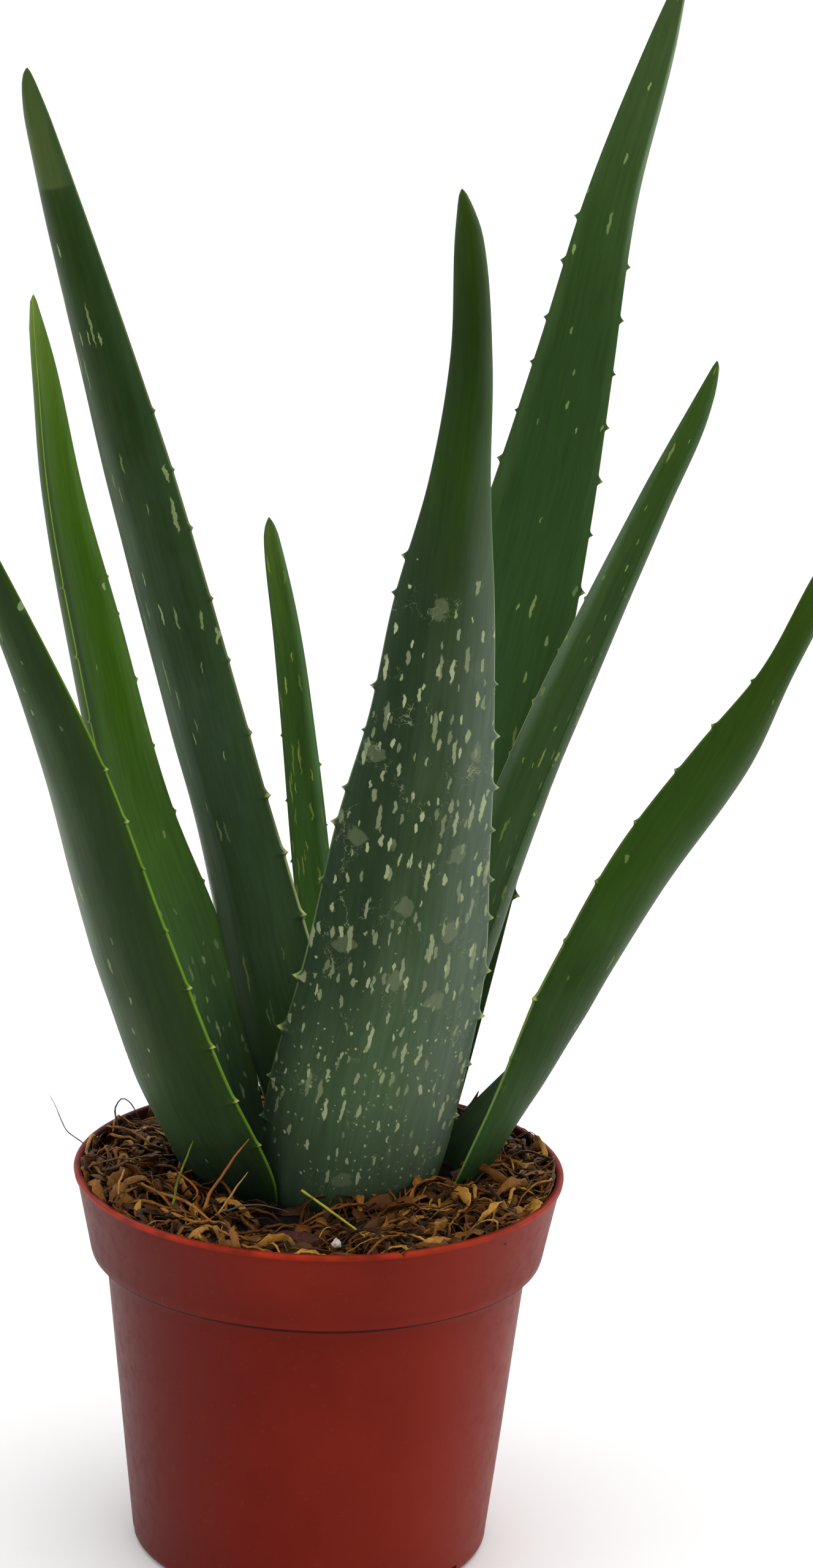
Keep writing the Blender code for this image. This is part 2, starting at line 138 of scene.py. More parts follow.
class Look:
    """One material's node tree, with short calls for the nodes that it uses."""

    def __init__(self, name, specular=0.5, specular_tint=(1.0, 1.0, 1.0)):
        self.material = bpy.data.materials.new(name)
        self.material.use_nodes = True
        self.tree = self.material.node_tree
        self.shader = self.tree.nodes["Principled BSDF"]
        self.shader.inputs["Specular IOR Level"].default_value = specular
        self.shader.inputs["Specular Tint"].default_value = (*specular_tint, 1.0)

    def node(self, kind, values=(), **settings):
        made = self.tree.nodes.new(kind)
        for key, value in settings.items():
            setattr(made, key, value)
        for socket, value in dict(values).items():
            self.join(value, made.inputs[socket])
        return made

    def join(self, value, socket):
        if isinstance(value, bpy.types.NodeSocket):
            self.tree.links.new(value, socket)
        else:
            socket.default_value = value

    def finish(self, **inputs):
        for name, value in inputs.items():
            self.join(value, self.shader.inputs[name.replace("_", " ")])
        return self.material

    def attribute(self, name, output="Fac"):
        return self.node("ShaderNodeAttribute", attribute_name=name).outputs[output]

    def place(self):
        return self.node("ShaderNodeTexCoord").outputs["Object"]

    def math(self, operation, *values):
        return self.node("ShaderNodeMath", enumerate(values), operation=operation).outputs[0]

    def times(self, first, *others):
        for other in others:
            first = self.math("MULTIPLY", first, other)
        return first

    def vector(self, operation, first, second):
        return self.node("ShaderNodeVectorMath", enumerate((first, second)), operation=operation).outputs[0]

    def parts(self, value):
        return self.node("ShaderNodeSeparateXYZ", {0: value}).outputs

    def noise(self, where, scale, detail=3.0, roughness=0.55):
        values = {"Vector": where, "Scale": scale, "Detail": detail, "Roughness": roughness}
        return self.node("ShaderNodeTexNoise", values).outputs["Fac"]

    def wobble(self, where, scale, amount):
        made = self.node("ShaderNodeTexNoise", {"Vector": where, "Scale": scale})
        centred = self.vector("SUBTRACT", made.outputs["Color"], (0.5, 0.5, 0.5))
        return self.vector("ADD", where, self.vector("MULTIPLY", centred, (amount,) * 3))

    def cells(self, where):
        values = {"Vector": where, "Scale": 1.0}
        made = self.node("ShaderNodeTexVoronoi", values, voronoi_dimensions="2D")
        return made.outputs["Distance"], self.parts(made.outputs["Color"])

    def step(self, value, low, high):
        """0 below low and 1 above high, or the other way round where high is the smaller."""
        values = {"Value": value, "From Min": min(low, high), "From Max": max(low, high),
                  "To Min": float(low > high), "To Max": float(low < high)}
        return self.node("ShaderNodeMapRange", values, interpolation_type="SMOOTHSTEP").outputs[0]

    def ramp(self, value, stops):
        """Colour ramp through (place, colour) stops; a plain number stands for a grey."""
        made = self.node("ShaderNodeValToRGB", {0: value})
        bar = made.color_ramp.elements
        while len(bar) < len(stops):
            bar.new(0.5)
        for element, (spot, colour) in zip(bar, stops):
            element.position = spot
            element.color = screen(*colour) if isinstance(colour, tuple) else (colour, colour, colour, 1.0)
        return made.outputs[0]

    def mix(self, share, first, second, blend="MIX"):
        """Second over first by a share; second is a socket or a screen value."""
        if isinstance(second, tuple):
            second = screen(*second)
        made = self.node("ShaderNodeMix", data_type="RGBA", blend_type=blend)
        for value, socket in zip((share, first, second), (made.inputs[0], made.inputs[6], made.inputs[7])):
            self.join(value, socket)
        return made.outputs[2]

    def bump(self, height, distance, strength):
        values = {"Strength": strength, "Distance": distance, "Height": height}
        return self.node("ShaderNodeBump", values).outputs[0]

    def grainy(self, grain, stops, rough, swing, distance, strength):
        """Finish a material whose colour, roughness and relief all follow one grain."""
        return self.finish(Base_Color=self.ramp(grain, stops),
                           Roughness=self.math("ADD", rough, self.times(grain, swing)),
                           Normal=self.bump(grain, distance, strength))


# ---------------------------------------------------------------- meshes


def ring_faces(rings, count, start=0):
    """Quads between neighbouring rings of points."""
    faces = []
    for row in range(start, start + (rings - 1) * count, count):
        for k in range(count):
            j = (k + 1) % count
            faces.append((row + k, row + j, row + count + j, row + count + k))
    return faces


def fan(hub, start, count, flip):
    """Triangles that close a ring of points on its hub."""
    pairs = [(start + k, start + (k + 1) % count) for k in range(count)]
    return [(hub, b, a) if flip else (hub, a, b) for a, b in pairs]


def mesh_piece(name, points, faces, material, attributes, node):
    """Piece of the plant from points in millimetres, riding on the root body in place of a CAD node."""
    mesh = bpy.data.meshes.new(name)
    mesh.from_pydata([tuple(c * MM for c in point) for point in points], [], faces)
    for key, values in attributes.items():
        if isinstance(values[0], (int, float)):
            made = mesh.attributes.new(key, "FLOAT", "POINT")
            made.data.foreach_set("value", values)
        else:
            made = mesh.attributes.new(key, "FLOAT_VECTOR", "POINT")
            made.data.foreach_set("vector", [c for value in values for c in value])
    mesh.shade_smooth()
    mesh.materials.append(material)
    piece = bpy.data.objects.new(name, mesh)
    bpy.context.scene.collection.objects.link(piece)
    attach(piece, BODY)
    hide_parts(node)
    return piece


def smooth_through(stations, fraction):
    """Value at a fraction of the run of a smooth curve through the stations, spaced by distance."""
    marks = [0.0]
    for here, there in zip(stations, stations[1:]):
        marks.append(marks[-1] + math.dist(here[:3], there[:3]))
    target = fraction * marks[-1]
    index = max(i for i in range(len(marks) - 1) if marks[i] <= target)

    def slope(i):
        before = max(i - 1, 0)
        after = min(i + 1, len(marks) - 1)
        span = marks[after] - marks[before]
        return [(b - a) / span for a, b in zip(stations[before], stations[after])]

    span = marks[index + 1] - marks[index]
    t = (target - marks[index]) / span
    weights = (2 * t**3 - 3 * t**2 + 1, (t**3 - 2 * t**2 + t) * span,
               3 * t**2 - 2 * t**3, (t**3 - t**2) * span)
    columns = zip(stations[index], slope(index), stations[index + 1], slope(index + 1))
    return [sum(w * v for w, v in zip(weights, values)) for values in columns]


def run_length(stations):
    """Length of the straight runs between stations."""
    return sum(math.dist(a[:3], b[:3]) for a, b in zip(stations, stations[1:]))


class Tubes:
    """Many tubes gathered into one mesh, each with its own tint."""

    def __init__(self):
        self.points = []
        self.faces = []
        self.tints = []

    def add(self, route, radii, tint, sides=6, flat=1.0, turn=0.0, twist=0.0):
        """Tube along a route; radii is one radius for each point, flat its thickness over width."""
        start = len(self.points)
        count = len(route)
        route = [Vector(point) for point in route]
        for i, (here, radius) in enumerate(zip(route, radii)):
            along = (route[min(i + 1, count - 1)] - route[max(i - 1, 0)]).normalized()
            side = along.cross(Vector((0, 0, 1)))
            side = side.normalized() if side.length > 1e-4 else Vector((1, 0, 0))
            up = side.cross(along)
            angle = turn + twist * i / (count - 1)
            wide = side * math.cos(angle) + up * math.sin(angle)
            thin = up * math.cos(angle) - side * math.sin(angle)
            for k in range(sides):
                a = 2 * math.pi * k / sides
                spot = here + wide * (radius * math.cos(a)) + thin * (radius * flat * math.sin(a))
                self.points.append(spot)
                self.tints.append(tint)
        self.faces += ring_faces(count, sides, start)
        self.faces.append(tuple(reversed(range(start, start + sides))))
        last = start + (count - 1) * sides
        self.faces.append(tuple(range(last, last + sides)))

    def piece(self, name, material, slot, node):
        return mesh_piece(name, self.points, self.faces, material, {"tint": self.tints}, node)


# ---------------------------------------------------------------- leaves


class Leaf(NamedTuple):
    """A leaf from its foot to its tip.

    stations: (x, y, z, half width) of the middle of the leaf, between its two margins.
    faces: (fraction, compass direction in degrees that the inner face turns to).
    channel: depth of the inner face's hollow, as a share of the half width.
    minus_teeth, plus_teeth: heights of the teeth on each margin.
    tooth: length that a leaf's teeth vary from.
    """
    stations: list
    faces: tuple
    channel: float
    minus_teeth: tuple
    plus_teeth: tuple
    tooth: float


LEAVES = {
    "leaf_front": Leaf(
        [(6, -3.5, LEAF_FOOT, 17.5), (7, -5, 98, 21.5), (10, -8, 118, 23), (16.5, -14, 152, 21.7),
         (19.5, -20, 185, 18.8), (23, -26, 216, 15), (25, -30, 246, 11.8), (27.5, -34, 276, 7.2),
         (29, -37, 305, 4.8), (27.5, -38, 332, 3.3), (25, -38, 346, 0)],
        ((0, 90), (1, 95)), 0.12,
        (227, 214, 201, 190, 177, 167, 153, 141, 128, 114),
        (258, 249, 226, 215, 200, 191, 176, 150, 136, 123, 112), 1.9),
    "leaf_front_left": Leaf(
        [(-19.5, 4, LEAF_FOOT, 15), (-22.5, 1, 98, 17.5), (-34, -9, 125, 18), (-47, -21, 165, 16),
         (-58.5, -32, 205, 12), (-71.5, -42, 240, 7.8), (-81, -51, 264, 5), (-88, -57, 282, 0)],
        ((0, 42), (1, 42)), 0.12,
        (208, 195, 183, 167, 152, 136, 121, 108), (214, 198, 181, 166, 150, 133, 118), 1.6),
    "leaf_left_bright": Leaf(
        [(-14, 8, LEAF_FOOT, 9), (-18.5, 7, 100, 11), (-30.5, 5.5, 145, 14.5), (-45.5, 11, 184, 13),
         (-57, 18, 226, 10.8), (-65.3, 23, 258, 7.7), (-70.5, 26, 288, 4.2), (-74.5, 28, 308, 0)],
        ((0, -28), (1, -28)), 0.25,
        (238, 222, 207, 190, 173, 156, 140, 124), (237, 228, 212, 196, 180, 163, 147, 130), 1.3),
    "leaf_left_tall": Leaf(
        [(0.5, 8.5, LEAF_FOOT, 11.5), (-2, 13.5, 104, 14), (-9.9, 16.7, 132, 17.5), (-20, 15, 172, 15.5),
         (-29, 9, 205, 14.5), (-46, 4, 266, 12.5), (-54.3, 1, 295, 10.3),
         (-70.8, -3, 351, 4.3), (-74.5, -4, 366, 0)],
        ((0, 42), (1, 42)), 0.12,
        (285, 271, 257, 240, 225, 207, 191, 176, 160, 145, 129, 114),
        (278, 262, 246, 230, 213, 197, 180, 163, 147, 131), 2.0),
    "leaf_centre_young": Leaf(
        [(1, 20.5, LEAF_FOOT, 7.5), (0.5, 21.5, 104, 7), (1, 24, 125, 5.6), (-4, 28, 166, 5.3),
         (-7.5, 31, 194, 4.6), (-11.5, 34, 222, 3.6), (-16, 36, 246, 2), (-17, 36.5, 253, 0)],
        ((0, -50), (1, -72)), 0.3, (198, 182, 167, 151, 137), (190, 175, 160, 144), 0.9),
    "leaf_back_right_tall": Leaf(
        [(11, 23, LEAF_FOOT, 16), (14, 27, 100, 19), (29, 44, 160, 19), (42.3, 58, 215, 17),
         (50.7, 66, 250, 14), (58, 74, 285, 10.6), (66, 82, 325, 7), (77, 90, 362, 4),
         (84.5, 96, 388, 0)],
        ((0, 256), (1, 240)), 0.12,
        (320, 309, 295, 284, 272, 260, 246, 231, 216, 201, 186, 170, 155, 140),
        (309, 296, 283, 270, 257, 244, 230, 216, 201, 186, 171, 156), 1.9),
    "leaf_right_rear": Leaf(
        [(17, 11, LEAF_FOOT, 10), (20, 14.5, 98, 11), (34, 23, 150, 11.2), (46.3, 28, 187, 10),
         (60.5, 33, 222, 8.3), (76, 39, 257, 5.8), (85.4, 42, 277, 4), (92, 44, 294, 0)],
        ((0, 205), (1, 205)), 0.3,
        (232, 219, 206, 193, 180, 167, 153, 139, 125),
        (236, 222, 209, 195, 183, 170, 158, 142, 134, 120), 1.8),
    "leaf_right": Leaf(
        [(28.5, 8, LEAF_FOOT, 13), (32, 6, 97, 15), (48, 1, 126, 14.3), (61, -2, 152, 13.2),
         (74.5, -5, 178, 12.2), (92.5, -8, 206, 9.7), (104, -10, 227, 4.8), (114, -12, 250, 3.8),
         (123, -13, 274, 0)],
        ((0, 183), (0.08, 178), (0.16, 169), (0.3, 151), (0.42, 143), (1, 112)), 0.18,
        (206, 193, 179, 164, 150, 136, 122), (226, 215, 204, 191, 176, 161, 146, 131), 2.0),
}


def face_at(leaf, fraction):
    """Direction that a leaf's inner face turns to at a fraction of its run."""
    for (start, first), (end, last) in zip(leaf.faces, leaf.faces[1:]):
        if fraction <= end:
            return first + (last - first) * (fraction - start) / (end - start)
    return leaf.faces[-1][1]


def section(leaf, fraction):
    """Frame of a leaf's cross-section: its middle, axes and sizes."""
    x, y, z, half_width = smooth_through(leaf.stations, fraction)
    ahead = Vector(smooth_through(leaf.stations, min(fraction + 0.01, 1))[:3])
    behind = Vector(smooth_through(leaf.stations, max(fraction - 0.01, 0))[:3])
    level = max(1 - fraction / ROOT_SHARE, 0)
    along = (ahead - behind).normalized().lerp(Vector((0, 0, 1)), level).normalized()
    face = math.radians(face_at(leaf, fraction))
    inward = Vector((math.cos(face), math.sin(face), 0))
    inward = (inward - inward.dot(along) * along).normalized()
    across = along.cross(inward)
    clasp = max(1 - fraction / CLASP_SHARE, 0) ** 2
    hollow = half_width * (leaf.channel + (CLASP_HOLLOW - leaf.channel) * clasp)
    flesh = (FLESH_SHARE * half_width + FLESH_LEAST) * (1 - CLASP_THINNING * clasp)
    flesh *= min(half_width / TIP_PULL, 1) ** 0.5
    return Vector((x, y, z)), along, inward, across, half_width, hollow, flesh


def fraction_at(leaf, side, height):
    """Fraction of the run where a margin is at a height."""
    low, high = 0.0, 1.0
    for _ in range(22):
        middle = (low + high) / 2
        spot, _, _, across, half_width, _, _ = section(leaf, middle)
        if (spot + across * side * half_width).z < height:
            low = middle
        else:
            high = middle
    return low


def tooth_shape(offset, reach):
    """How far a tooth stands out, at an offset in millimetres along the margin from its point."""
    share = 1 - offset / (TOOTH_PAST * reach) if offset > 0 else 1 + offset / (TOOTH_BEFORE * reach)
    return max(share, 0) ** TOOTH_SHARPNESS


def build_leaf(name, leaf, material, seed):
    """Fleshy leaf with rounded margins, and teeth that grow out of them."""
    dice = random.Random(seed)
    length = run_length(leaf.stations)
    teeth = []
    for side, heights in ((-1, leaf.minus_teeth), (1, leaf.plus_teeth)):
        for height in heights:
            spot = fraction_at(leaf, side, height) * length
            shrink = 1 - 0.45 * (height - LEAF_FOOT) / (leaf.stations[-1][2] - LEAF_FOOT)
            teeth.append((side, spot, leaf.tooth * shrink * dice.uniform(0.55, 1.1)))
    marks = [i * length / round(length / ROW_STEP) for i in range(round(length / ROW_STEP))]
    end = TIP_SHARE * length
    marks += [end - gap for gap in TIP_ROWS]
    marks += [spot + offset * reach for _, spot, reach in teeth for offset in TOOTH_ROWS]
    rows = []
    for mark in sorted(marks):
        if 0 <= mark < end and (not rows or mark - rows[-1] > ROW_GAP):
            rows.append(mark)
    steps = [math.cos(math.pi * i / (FACE_POINTS + 1)) for i in range(1, FACE_POINTS + 1)]
    ring = [(-1.0, 0.5)] + [(-u, 0.0) for u in steps] + [(1.0, 0.5)] + [(u, 1.0) for u in steps]
    points = []
    maps, shares, sides, outers, tips = [], [], [], [], []
    for mark in rows:
        fraction = mark / length
        middle, along, inward, across, half_width, hollow, flesh = section(leaf, fraction)
        closing = min((end - mark) / TIP_CLOSING, 1) ** 0.5
        half_width, hollow, flesh = half_width * closing, hollow * closing, flesh * closing
        wave = noise.noise(Vector((mark / 26, seed * 7.3, 0)))
        for u, outer in ring:
            ripple = noise.noise(Vector((mark / 17, u * 1.6 + seed * 3.1, outer * 4)))
            depth = hollow * (1 - u * u)
            if outer == 1.0:
                depth += flesh * (1 - u * u) ** 0.66 * (1 + 0.06 * wave)
            depth += 0.035 * flesh * ripple * (1 - u * u)
            grown = 0.0
            near = max(0.0, (abs(u) - MARGIN_START) / MARGIN_WIDTH)
            near = near * near * (3 - 2 * near)
            if near > 0:
                for side, spot, reach in teeth:
                    if side * u > 0 and abs(mark - spot) < TOOTH_SPAN * reach:
                        grown = max(grown, reach * tooth_shape(mark - spot, reach))
            spread = u * half_width * (1 + 0.012 * wave) + math.copysign(grown * near, u)
            rise = TOOTH_RISE * grown * near
            point = middle + across * spread - inward * depth + along * rise
            points.append(point)
            maps.append((u * half_width, mark, MAP_SPACING * seed))
            shares.append(fraction)
            sides.append(u)
            outers.append(outer)
            tips.append(min(grown * near / leaf.tooth, 1))
    count = len(ring)
    faces = ring_faces(len(rows), count)
    tip = Vector(smooth_through(leaf.stations, TIP_SHARE)[:3])
    for row, spot in ((0, middle_of(points[:count])), (len(rows) - 1, tip)):
        hub = len(points)
        points.append(spot)
        maps.append((0, rows[row], MAP_SPACING * seed))
        shares.append(rows[row] / length)
        sides.append(0.0)
        outers.append(0.5)
        tips.append(0.0)
        faces += fan(hub, row * count, count, row == 0)
    attributes = {"leaf_map": maps, "share": shares, "side": sides, "outer": outers, "tooth": tips}
    return mesh_piece(name + "_skin", points, faces, material, attributes, name)


def middle_of(points):
    """Mean of some points."""
    return sum((Vector(point) for point in points), Vector()) / len(points)


NONE = ((0.0, 0.0), (1.0, 0.0))
RIM = 0.98, 0.998


class Band(NamedTuple):
    """Strip of colour along one margin: it comes in between two places across the leaf. Broad strips are
    painted light and shade; thin RIM strips are the margin's own pale colour.
    """
    side: int
    start: float
    end: float
    colour: tuple
    amounts: tuple


class Skin(NamedTuple):
    """Colours of a leaf. Shares run from the foot, 0, to the tip, 1.

    tones: (share, colour). bloom, flecks, blotches and a band's amounts: (share, amount).
    fleck_size: width and length of the cells that hold one fleck each, and the fleck's reach in them.
    tip: share where a differently coloured tip starts, and its colour.
    inner: colour of the inner face, where it is not that of the outer one, and its (share, amount).
    specks: (share, amount) of small round flecks.
    """
    tones: tuple
    bands: tuple
    bloom: tuple
    bloom_colour: tuple
    flecks: tuple
    fleck_colour: tuple
    fleck_size: tuple
    blotches: tuple
    tooth_colour: tuple = (166, 178, 100)
    tip: tuple = ()
    inner: tuple = ()
    specks: tuple = NONE


# Leaf colours hold painted light and shade. Most tones darken at the very foot as painted shade where the
# leaves crowd; their lighter lower stretches are partly the leaves' own paler feet, partly painted light.
# Broad bands are painted: darker strips are painted shade, greyish or lighter strips painted sheen and
# light. Thin RIM bands are the margins' own pale colour.
SKINS = {
    "leaf_front": Skin(
        tones=((0.0, (40, 56, 44)), (0.04, (62, 80, 60)), (0.14, (70, 92, 63)), (0.25, (62, 80, 56)),
               (0.36, (46, 64, 41)), (0.55, (43, 58, 38)), (0.66, (36, 54, 25)), (0.75, (34, 57, 14)),
               (0.87, (25, 44, 11)), (1.0, (40, 60, 10))),
        # Painted light and shade: the broad greyish strip on the right (minus) side is a painted
        # reflection, with lighter green painted light above it; the dark strip on the left (plus) half is
        # painted shade, and the greyish strip by the left edge low down a painted sheen. The RIM strips are
        # the margins' own pale colour.
        bands=(Band(-1, 0.05, 0.95, (90, 104, 90),
                    ((0.04, 0.2), (0.15, 0.85), (0.5, 0.8), (0.66, 0.55), (0.8, 0.15))),
               Band(-1, 0.5, 1.0, (62, 86, 44), ((0.6, 0.0), (0.7, 0.5), (1.0, 0.5))),
               Band(1, 0.0, 0.45, (31, 47, 32), ((0.1, 0.3), (0.3, 0.8), (0.62, 0.9), (0.72, 0.2))),
               Band(1, 0.72, 1.0, (50, 66, 50), ((0.0, 0.6), (0.6, 0.5), (0.7, 0.1))),
               Band(-1, *RIM, (138, 156, 118), ((0.0, 0.5), (0.6, 1.0), (0.75, 0.3), (1.0, 0.0))),
               Band(1, *RIM, (150, 176, 116),
                    ((0.0, 0.4), (0.2, 0.5), (0.27, 1.0), (0.36, 0.4), (0.75, 0.0)))),
        bloom=((0.0, 0.0), (0.1, 0.15), (0.3, 0.15), (0.55, 0.12), (0.66, 0.0)),
        bloom_colour=(92, 106, 88),
        flecks=((0.03, 0.0), (0.08, 0.6), (0.2, 0.8), (0.5, 0.9), (0.6, 0.9), (0.665, 0.0)),
        fleck_colour=(162, 172, 132), fleck_size=(2.6, 9.0, 0.16),
        blotches=((0.25, 0.5), (0.62, 0.55), (0.66, 0.0)),
        specks=((0.03, 0.0), (0.06, 0.5), (0.16, 0.5), (0.25, 0.1), (0.4, 0.0))),
    "leaf_front_left": Skin(
        tones=((0.0, (8, 12, 9)), (0.06, (28, 40, 34)), (0.14, (50, 73, 43)), (0.25, (41, 60, 31)),
               (0.5, (42, 58, 36)), (0.65, (42, 60, 33)), (0.75, (40, 60, 26)), (0.87, (41, 63, 22)),
               (1.0, (58, 82, 26))),
        # Painted light and shade: the dark strips on the right (minus) side are painted shade and the grey
        # strip on the left (plus) half a painted sheen. The RIM strip is the margin's own pale colour.
        bands=(Band(-1, 0.1, 0.5, (30, 47, 25), ((0.15, 0.3), (0.3, 0.9), (0.9, 0.9))),
               Band(-1, 0.82, 1.0, (40, 62, 20), ((0.1, 0.6), (1.0, 0.8))),
               Band(1, 0.0, 0.5, (94, 108, 88),
                    ((0.26, 0.0), (0.4, 0.95), (0.58, 1.0), (0.7, 0.2), (0.8, 0.0))),
               Band(-1, *RIM, (112, 150, 46), ((0.0, 0.3), (0.08, 1.0), (0.6, 0.9), (0.8, 0.4)))),
        bloom=((0.05, 0.0), (0.3, 0.1), (0.6, 0.2), (0.9, 0.1)), bloom_colour=(72, 88, 70),
        flecks=((0.0, 0.05), (0.5, 0.08), (0.8, 0.25), (1.0, 0.3)),
        fleck_colour=(120, 140, 90), fleck_size=(3.4, 9.0, 0.1), blotches=NONE),
    "leaf_left_bright": Skin(
        tones=((0.0, (24, 36, 34)), (0.06, (58, 82, 66)), (0.2, (76, 106, 64)), (0.4, (84, 122, 50)),
               (0.55, (60, 98, 12)), (0.7, (51, 87, 8)), (0.85, (62, 96, 12)), (0.94, (82, 110, 30)),
               (1.0, (108, 130, 60))),
        # Painted light and shade: the dark strip on the left (minus) side is painted shade where the leaf
        # in front shades it, and the light strip by the right (plus) edge a painted sheen. The RIM strips
        # are the margins' own pale colour.
        bands=(Band(-1, 0.3, 0.8, (34, 62, 6), ((0.45, 0.0), (0.55, 0.9), (0.8, 0.9), (0.95, 0.1))),
               Band(1, 0.55, 1.0, (84, 118, 52), ((0.1, 0.3), (0.5, 0.9), (1.0, 0.8))),
               Band(-1, *RIM, (150, 178, 70), ((0.0, 0.1), (0.3, 0.5), (0.9, 0.8))),
               Band(1, *RIM, (140, 168, 70), ((0.0, 0.0), (0.6, 0.3), (1.0, 0.2)))),
        bloom=((0.1, 0.25), (0.3, 0.1), (0.5, 0.0)), bloom_colour=(84, 108, 84),
        flecks=((0.02, 0.4), (0.12, 0.75), (0.25, 0.6), (0.34, 0.05), (0.6, 0.03), (1.0, 0.0)),
        fleck_colour=(164, 184, 132), fleck_size=(2.8, 8.0, 0.13), blotches=NONE),
    "leaf_left_tall": Skin(
        tones=((0.0, (40, 60, 34)), (0.1, (62, 92, 50)), (0.22, (62, 86, 54)), (0.4, (46, 66, 42)),
               (0.55, (32, 50, 26)), (0.7, (26, 46, 17)), (0.84, (28, 48, 16)), (0.895, (33, 52, 20)),
               (0.91, (48, 64, 30)), (1.0, (54, 70, 34))),
        # Painted light: the pale grey-blue strips on the left (plus) side are a painted reflection, and the
        # lighter strip by the right (minus) edge high up painted light. The RIM strip is the margin's own
        # pale colour.
        bands=(Band(-1, 0.7, 1.0, (50, 72, 42), ((0.1, 0.5), (1.0, 0.7))),
               Band(1, -0.2, 0.5, (136, 152, 134),
                    ((0.1, 0.2), (0.2, 0.95), (0.4, 0.95), (0.52, 0.4), (0.64, 0.3), (0.75, 0.1))),
               Band(1, 0.4, 0.8, (70, 90, 62), ((0.48, 0.0), (0.56, 0.8), (0.8, 0.8), (0.86, 0.0))),
               Band(-1, *RIM, (190, 202, 138),
                    ((0.1, 0.5), (0.22, 1.0), (0.3, 0.9), (0.35, 0.2), (0.8, 0.2)))),
        bloom=((0.05, 0.0), (0.3, 0.2), (0.6, 0.15), (0.85, 0.0)), bloom_colour=(80, 98, 80),
        flecks=((0.0, 0.15), (0.3, 0.2), (0.45, 0.45), (0.85, 0.5), (0.9, 0.0)),
        fleck_colour=(140, 156, 104), fleck_size=(2.4, 20.0, 0.12), blotches=NONE,
        tip=(0.893, (62, 78, 40))),
    "leaf_centre_young": Skin(
        tones=((0.0, (96, 112, 62)), (0.1, (100, 128, 72)), (0.3, (86, 120, 56)), (0.45, (72, 108, 50)),
               (0.55, (64, 96, 44)), (0.67, (56, 84, 34)), (0.78, (57, 86, 34)), (0.9, (68, 96, 34)),
               (1.0, (84, 110, 48))),
        # Painted light and shade: the two broad side strips here.
        bands=(Band(-1, 0.4, 1.0, (66, 88, 52), ((0.3, 0.6), (0.9, 0.6))),
               Band(1, 0.45, 0.95, (106, 142, 90), ((0.3, 0.9), (1.0, 0.9)))),
        bloom=NONE, bloom_colour=(80, 100, 70),
        flecks=((0.0, 0.3), (0.2, 0.6), (0.7, 0.6), (1.0, 0.1)),
        fleck_colour=(160, 178, 84), fleck_size=(1.8, 16.0, 0.12), blotches=NONE),
    "leaf_back_right_tall": Skin(
        tones=((0.0, (30, 46, 24)), (0.2, (50, 76, 40)), (0.35, (53, 80, 41)), (0.45, (47, 74, 36)),
               (0.55, (42, 68, 32)), (0.66, (37, 62, 26)), (0.76, (43, 68, 29)), (0.86, (53, 75, 38)),
               (1.0, (58, 76, 41))),
        # Painted light: the lighter green strips by both edges are painted light, and the pale grey strip
        # by the right (plus) edge near the tip a painted sheen. The RIM strip is the margin's own pale
        # colour.
        bands=(Band(-1, 0.6, 1.0, (60, 82, 46), ((0.4, 0.8), (1.0, 0.8))),
               Band(1, 0.7, 1.0, (56, 84, 45), ((0.3, 0.7), (0.7, 0.7), (1.0, 0.0))),
               Band(1, 0.7, 1.0, (128, 150, 120), ((0.72, 0.0), (0.8, 0.7), (0.95, 1.0), (1.0, 0.3))),
               Band(1, *RIM, (128, 146, 98), ((0.2, 0.1), (0.4, 0.5), (0.9, 0.5)))),
        bloom=((0.3, 0.0), (0.7, 0.05), (1.0, 0.0)), bloom_colour=(84, 102, 74),
        flecks=((0.2, 0.0), (0.36, 0.1), (0.5, 0.25), (0.8, 0.35), (0.92, 0.15)),
        fleck_colour=(132, 152, 92), fleck_size=(3.4, 12.0, 0.1), blotches=NONE),
    "leaf_right_rear": Skin(
        tones=((0.0, (24, 40, 20)), (0.1, (40, 62, 34)), (0.3, (60, 86, 50)), (0.45, (53, 82, 36)),
               (0.55, (44, 71, 26)), (0.7, (34, 60, 12)), (0.85, (38, 66, 5)), (1.0, (50, 78, 12))),
        # Painted light and shade: the lighter green strips on both sides are painted light, and the grey
        # strip by the left (minus) edge a painted sheen. The RIM strip is the margin's own pale colour.
        bands=(Band(-1, 0.15, 0.6, (56, 82, 42), ((0.3, 0.6), (0.7, 0.8), (0.85, 0.2))),
               Band(-1, 0.6, 0.95, (92, 112, 86), ((0.35, 0.3), (0.6, 1.0), (0.78, 0.8), (0.92, 0.2))),
               Band(1, 0.2, 0.6, (52, 80, 42), ((0.3, 0.4), (0.9, 0.4))),
               Band(-1, *RIM, (146, 160, 116), ((0.1, 0.2), (0.3, 0.8), (0.7, 0.9), (0.9, 0.3)))),
        bloom=((0.2, 0.05), (0.5, 0.05), (0.9, 0.0)), bloom_colour=(78, 98, 76),
        flecks=((0.0, 0.1), (0.3, 0.25), (0.9, 0.4)),
        fleck_colour=(140, 158, 84), fleck_size=(3.0, 10.0, 0.11), blotches=NONE),
    "leaf_right": Skin(
        tones=((0.0, (20, 32, 18)), (0.05, (38, 62, 34)), (0.14, (48, 75, 37)), (0.25, (34, 57, 21)),
               (0.35, (34, 57, 17)), (0.45, (38, 65, 13)), (0.6, (38, 64, 17)), (0.8, (41, 63, 15)),
               (1.0, (52, 80, 20))),
        # Painted light: the broad lighter strip along the lower (minus) side. The RIM strip is the upper
        # margin's own pale colour.
        bands=(Band(-1, -0.15, 0.35, (62, 88, 52),
